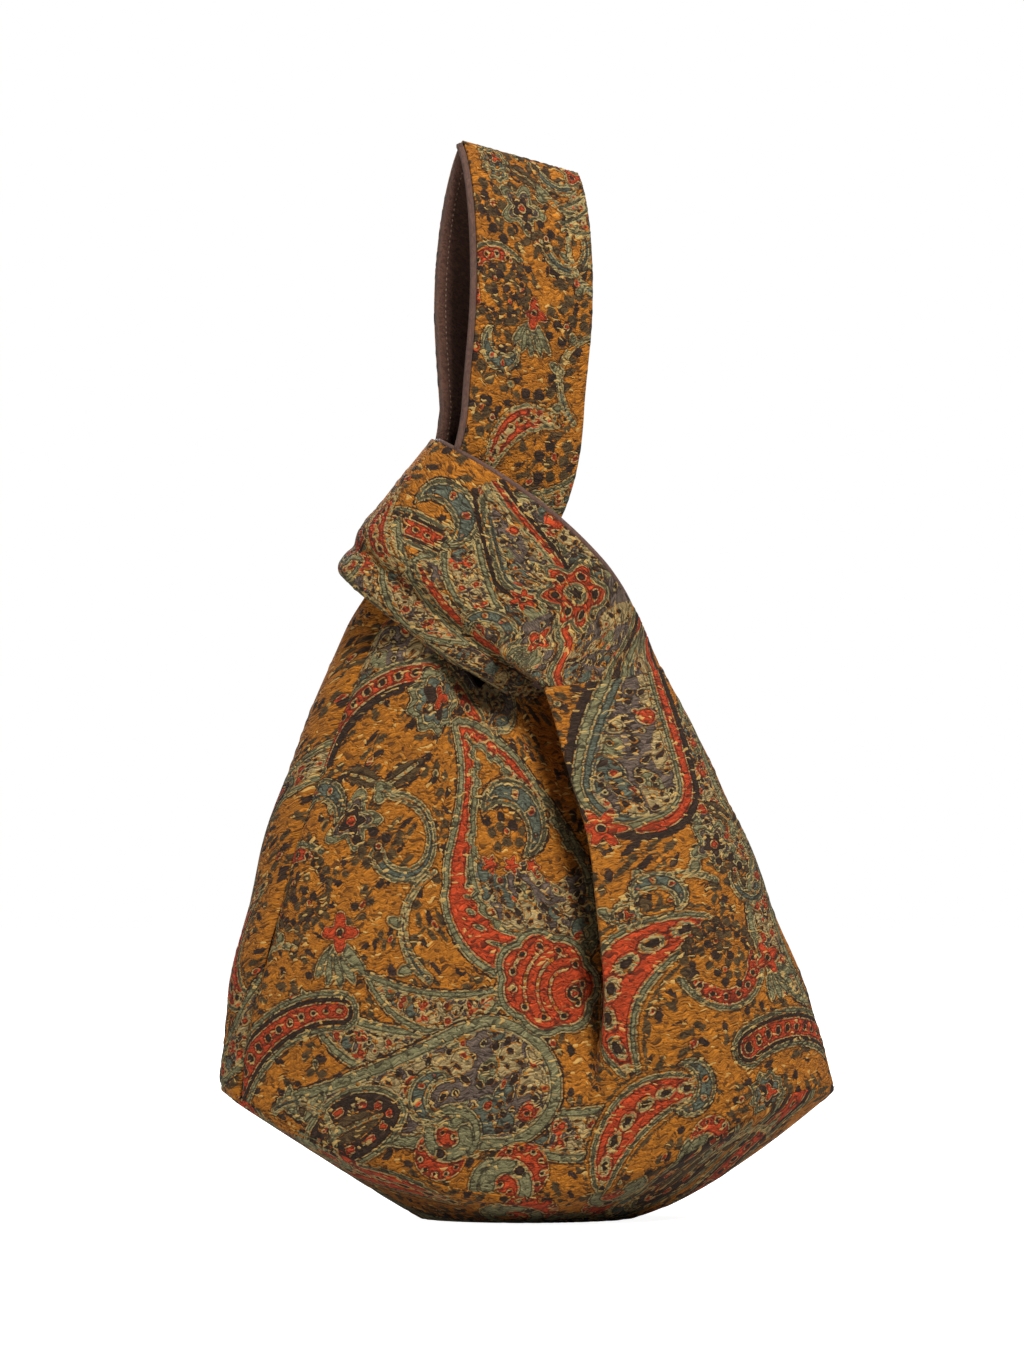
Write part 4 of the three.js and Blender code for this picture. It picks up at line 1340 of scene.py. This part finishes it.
loop_rows = slice(SEWN_TRIM, len(handle_face) - SEWN_TRIM)
tucked_behind = smoothstep(np.linspace(0, 1, len(handle_face)), HIDE_START, HIDE_END)
for edge, side, hidden in ((0, "left", tucked_behind), (-1, "right", 1.0)):
    piece = edge_piping(f"long_handle_piping_{side}", handle_face, edge, loop_rows, hidden)
    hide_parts(f"carry_loop_piping_{side}")
    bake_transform(piece)

STITCH_PITCH, STITCH_LENGTH, STITCH_RADIUS = 2.5, 1.6, 0.4
STITCH_COLUMN, THREAD_OUT, BEAD_CORNERS = 4, 0.1, 6
BEAD_FACES = np.array(
    [[0, 2, 4], [0, 4, 3], [0, 3, 5], [0, 5, 2], [1, 4, 2], [1, 3, 4], [1, 5, 3], [1, 2, 5]]
)


def stitches(path, up):
    """A row of sewing: one small six-cornered bead of thread for each pitch walked along a path."""
    walked = lengths(path[:, None], 0)[:, 0]
    places = np.arange(STITCH_PITCH, walked[-1], STITCH_PITCH)
    centre = interpolated(places, walked, path)
    lift = unit(interpolated(places, walked, up))
    along = unit(np.gradient(centre, axis=0))
    halves = along * STITCH_LENGTH / 2, np.cross(along, lift) * STITCH_RADIUS, lift * STITCH_RADIUS
    corners = [sign * half for half in halves for sign in (1, -1)]
    points = (centre[:, None] + np.stack(corners, 1)).reshape(-1, 3)
    first_corners = BEAD_CORNERS * np.arange(len(centre))
    return points, (BEAD_FACES[None] + first_corners[:, None, None]).reshape(-1, 3)


inward = -normals(handle_face, 8)
thread_surface = handle_face + (LINING_DEPTHS[1] + THREAD_OUT) * inward
rows_of_sewing = []
for column in (STITCH_COLUMN, STRAP_COLUMNS - STITCH_COLUMN):
    rows_of_sewing.append(stitches(thread_surface[loop_rows, column], inward[loop_rows, column]))
(left_points, left_faces), (right_points, right_faces) = rows_of_sewing
thread = mesh_object(
    "long_handle_topstitch",
    np.concatenate([left_points, right_points]),
    [np.concatenate([left_faces, right_faces + len(left_points)])],
)
store(thread, "cloth", np.concatenate([left_points, right_points]))
thread.data.materials.append(THREAD)
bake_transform(thread)
print("topstitches:", len(thread.data.vertices) // BEAD_CORNERS)

# %% [markdown]
# ## Short handle
# The short handle leaves the right shoulder, goes round the long one as a collar and comes back behind
# it. Its lower edge rolls under, with a crease above the roll, and its upper edge shows the piping.

# %% Collar surface
COLLAR_START, COLLAR_END, COLLAR_PULL = 0.5625, 0.994, 0.3
LOWER_BEND, UPPER_BEND = np.array([-30.0, 260.0]), np.array([42.0, 318.0])
LOWER_TIP, UPPER_TIP = np.array([-86.0, 306.0]), np.array([-43.0, 362.0])
LOWER_HALF_DEPTH, UPPER_HALF_DEPTH, OPENING_SHARE = 41.0, 35.0, 0.4
TURN_START, TURN_POWER = 0.8, 0.65
ROLL_RADIUS, ROLL_START, ROLL_TURN = 5.8, np.radians(14), np.radians(200)
COLLAR_COLUMNS, COLLAR_ROWS, ROLL_ROWS = 360, 88, 20
CREASE_PLACE, CREASE_WIDTH, CREASE_DEPTH = 9.0, 3.4, 4.6
CREST_PLACE, CREST_WIDTH, CREST_HEIGHT = 20.0, 7.0, 4.0
FREE_START, FREE_END, CALM_START, CALM_SHARE = 0.06, 0.4, 0.8, 0.7
ROLL_GROWTH, SLACK_REACH, COLLAR_PLACE_Z = (0.02, 0.3), 160, 250
LOWER_TRIM, UPPER_TRIM = 72, 6


def collar_strip():
    """The collar before its edge is rolled: rows from lower to upper edge, columns from back to front.

    Seen from the front, each row is a quadratic curve from shoulder to tip. Seen from above, it opens
    from the shoulder and turns round the tip as a power of a cosine.
    """
    column, across = grid(COLLAR_ROWS, COLLAR_COLUMNS)
    side = np.where(column < 0.5, -1.0, 1.0)
    share = 1 - np.abs(2 * column - 1)
    angle = side * lerp(COLLAR_START, COLLAR_END, across) * np.pi
    start, _ = panel_top(angle)
    turn = np.maximum(0, (share - TURN_START) / (1 - TURN_START)) * np.pi / 2
    t = (np.minimum(share, TURN_START) + (1 - TURN_START) * np.sin(turn))[..., None]
    bend = lerp(LOWER_BEND, UPPER_BEND, across[..., None])
    tip = lerp(LOWER_TIP, UPPER_TIP, across[..., None])
    seen = start[..., [0, 2]] * (1 - t) ** 2 + 2 * bend * t * (1 - t) + tip * t**2
    full = lerp(LOWER_HALF_DEPTH, UPPER_HALF_DEPTH, across)
    out = lerp(np.abs(start[..., 1]), full, smoothstep(share, 0, OPENING_SHARE))
    out = out * np.cos(turn) ** TURN_POWER
    return np.stack([seen[..., 0], -side * out, seen[..., 1]], -1), share


def collar_face():
    """The collar with its crease, and with rows added below that roll its lower edge under."""
    strip, share = collar_strip()
    up = lengths(strip, 0)
    free = smoothstep(share, FREE_START, FREE_END) * (1 - CALM_SHARE * smoothstep(share, CALM_START, 1))
    crest = CREST_HEIGHT * hump(up, CREST_PLACE, CREST_WIDTH)
    crease = CREASE_DEPTH * hump(up, CREASE_PLACE, CREASE_WIDTH)
    lift = (crest - crease) * free + SLACK_HEIGHT * slack(up, SLACK_REACH * share)
    strip = strip + lift[..., None] * normals(strip, 3)
    strip = drawn_in(strip, left=COLLAR_PULL, right=COLLAR_PULL)
    out = normals(strip, 4)[:1]
    down = unit(strip[:1] - strip[2:3])
    down = unit(down - out * (down * out).sum(-1, keepdims=True))
    most = lerp(ROLL_START, ROLL_TURN, smoothstep(share[:1], *ROLL_GROWTH))
    turn = (np.linspace(1, 0, ROLL_ROWS, endpoint=False)[:, None] * most)[..., None]
    roll = strip[:1] + ROLL_RADIUS * ((np.cos(turn) - 1) * out + np.sin(turn) * down)
    return np.concatenate([roll, strip])


short_face = collar_face()
over, up = lengths(short_face, 1), lengths(short_face, 0)
over = (over - over[:, COLLAR_COLUMNS // 2, None]).mean(0)
short_places = np.stack([over + 0 * up, up - up[ROLL_ROWS] + COLLAR_PLACE_Z], -1)
COLLAR_MOTIFS = (
    (border, (-36, 273), 0, 1.0, 120),
    (drop_tip, (50, 260), 90, 1.2, 75),
    (patchwork, (-6, 270), 2, 1.1, 90),
    (patchwork, (30, 286), -4, 1.0, 90),
    (arch, (-62, 310), -10, 0.9),
    (crescent, (-44, 292), -6, 0.95),
    (crescent, (-12, 300), -16, 0.9),
    (curl_leaf, (-38, 336), 20, 1.15),
    (red_crescent, (-62, 322), 80, 0.5),
    (plain_drop, (2, 300), 70, 0.7),
    (bloom, (24, 290), 0, 1.0),
    (curl_leaf, (-22, 278), 60, 0.9),
    (leaf_fan, (6, 268), 40, 0.9),
    (spiral, (-76, 304), 0, 0.6),
)
short_motifs = placed_from_front(short_face, short_places, COLLAR_MOTIFS)
far_side = [(motif, (-place[0], place[1]), *way) for motif, place, *way in short_motifs]
short_fields = painted(short_places, short_motifs + far_side)
short_layers, short_faces = sewn_layers("short_handle", short_face, short_places, short_fields)
for piece, layer in zip(short_layers, ("outer", "interlining", "lining")):
    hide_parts(f"short_loop_{layer}")
    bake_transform(piece)

# %% Piping of the short handle
turned_face = np.swapaxes(short_face, 0, 1)[::-1]
for edge, place, trim in ((0, "lower", LOWER_TRIM), (-1, "upper", UPPER_TRIM)):
    rows = slice(trim, COLLAR_COLUMNS + 1 - trim)
    piece = edge_piping(f"short_handle_piping_{place}", turned_face, edge, rows)
    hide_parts(f"short_loop_piping_{place}")
    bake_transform(piece)

# %% [markdown]
# ## Stage and light
# The bag stands on a plain white floor. The key lamp is high on the right, so the pleat casts its
# shadow to the left. A weak one far on the left opens the shadows, one hangs above and one stands
# behind. The world is white to the camera and nearly dark to all else, and closes the background.

# %% Stage
FLOOR_HALF, FLOOR_GREY, FLOOR_GLOW = 4.0, 0.7, 0.94
WORLD_GLOW = 0.05
floor = mesh_object(
    "floor",
    np.array([[-1, -1, 0], [1, -1, 0], [1, 1, 0], [-1, 1, 0]]) * FLOOR_HALF / MM,
    [np.array([[0, 1, 2, 3]])],
)
floor_material, floor_tree, floor_shader = start_material("floor", 0.9, 0.0)
floor_shader.inputs["Base Color"].default_value = (FLOOR_GREY, FLOOR_GREY, FLOOR_GREY, 1)
floor_shader.inputs["Emission Color"].default_value = (1, 1, 1, 1)
camera_ray = add_node(floor_tree, "ShaderNodeLightPath").outputs["Is Camera Ray"]
glow = times(floor_tree, camera_ray, FLOOR_GLOW)
floor_tree.links.new(glow, floor_shader.inputs["Emission Strength"])
floor.data.materials.append(floor_material)
floor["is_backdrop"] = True


def area_lamp(name, place, target, size, power):
    """A square lamp that faces a target, with places and size in metres and power in watts."""
    data = bpy.data.lights.new(name, "AREA")
    data.size, data.energy = size, power
    lamp = bpy.data.objects.new(name, data)
    x, y, z = np.subtract(target, place)
    lamp.location = place
    lamp.rotation_euler = (np.arctan2(np.hypot(x, y), -z), 0, np.arctan2(-x, y))
    bpy.context.scene.collection.objects.link(lamp)


MIDDLE = (0, 0, 0.22)
area_lamp("key", (0.68, -1.5, 1.8), MIDDLE, 0.6, 66)
area_lamp("fill", (-2.0, -0.9, 0.6), MIDDLE, 1.0, 15)
area_lamp("top", (0.1, 0.2, 2.0), MIDDLE, 1.2, 12)
area_lamp("back", (-0.5, 2.0, 1.3), MIDDLE, 1.0, 30)

world = bpy.data.worlds.new("world")
bpy.context.scene.world = world
world.use_nodes = True
world_tree = world.node_tree
camera_ray = add_node(world_tree, "ShaderNodeLightPath").outputs["Is Camera Ray"]
strength = ramp(world_tree, camera_ray, 0, 1, WORLD_GLOW, 1.0)
world_tree.nodes["Background"].inputs["Color"].default_value = (1, 1, 1, 1)
world_tree.links.new(strength, world_tree.nodes["Background"].inputs["Strength"])
bpy.context.scene.view_settings.view_transform = "Standard"

# %% [markdown]
# ## Size
# The cloth swells and rolls past the plain solids in places, so both boxes are printed to compare.

# %% Size
boxes = {"cad": cad_box, "visual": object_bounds()}
boxes = {name: [[float(value) for value in corner] for corner in box] for name, box in boxes.items()}
for name, box in boxes.items():
    print(name, [[round(value / MM) for value in corner] for corner in box])
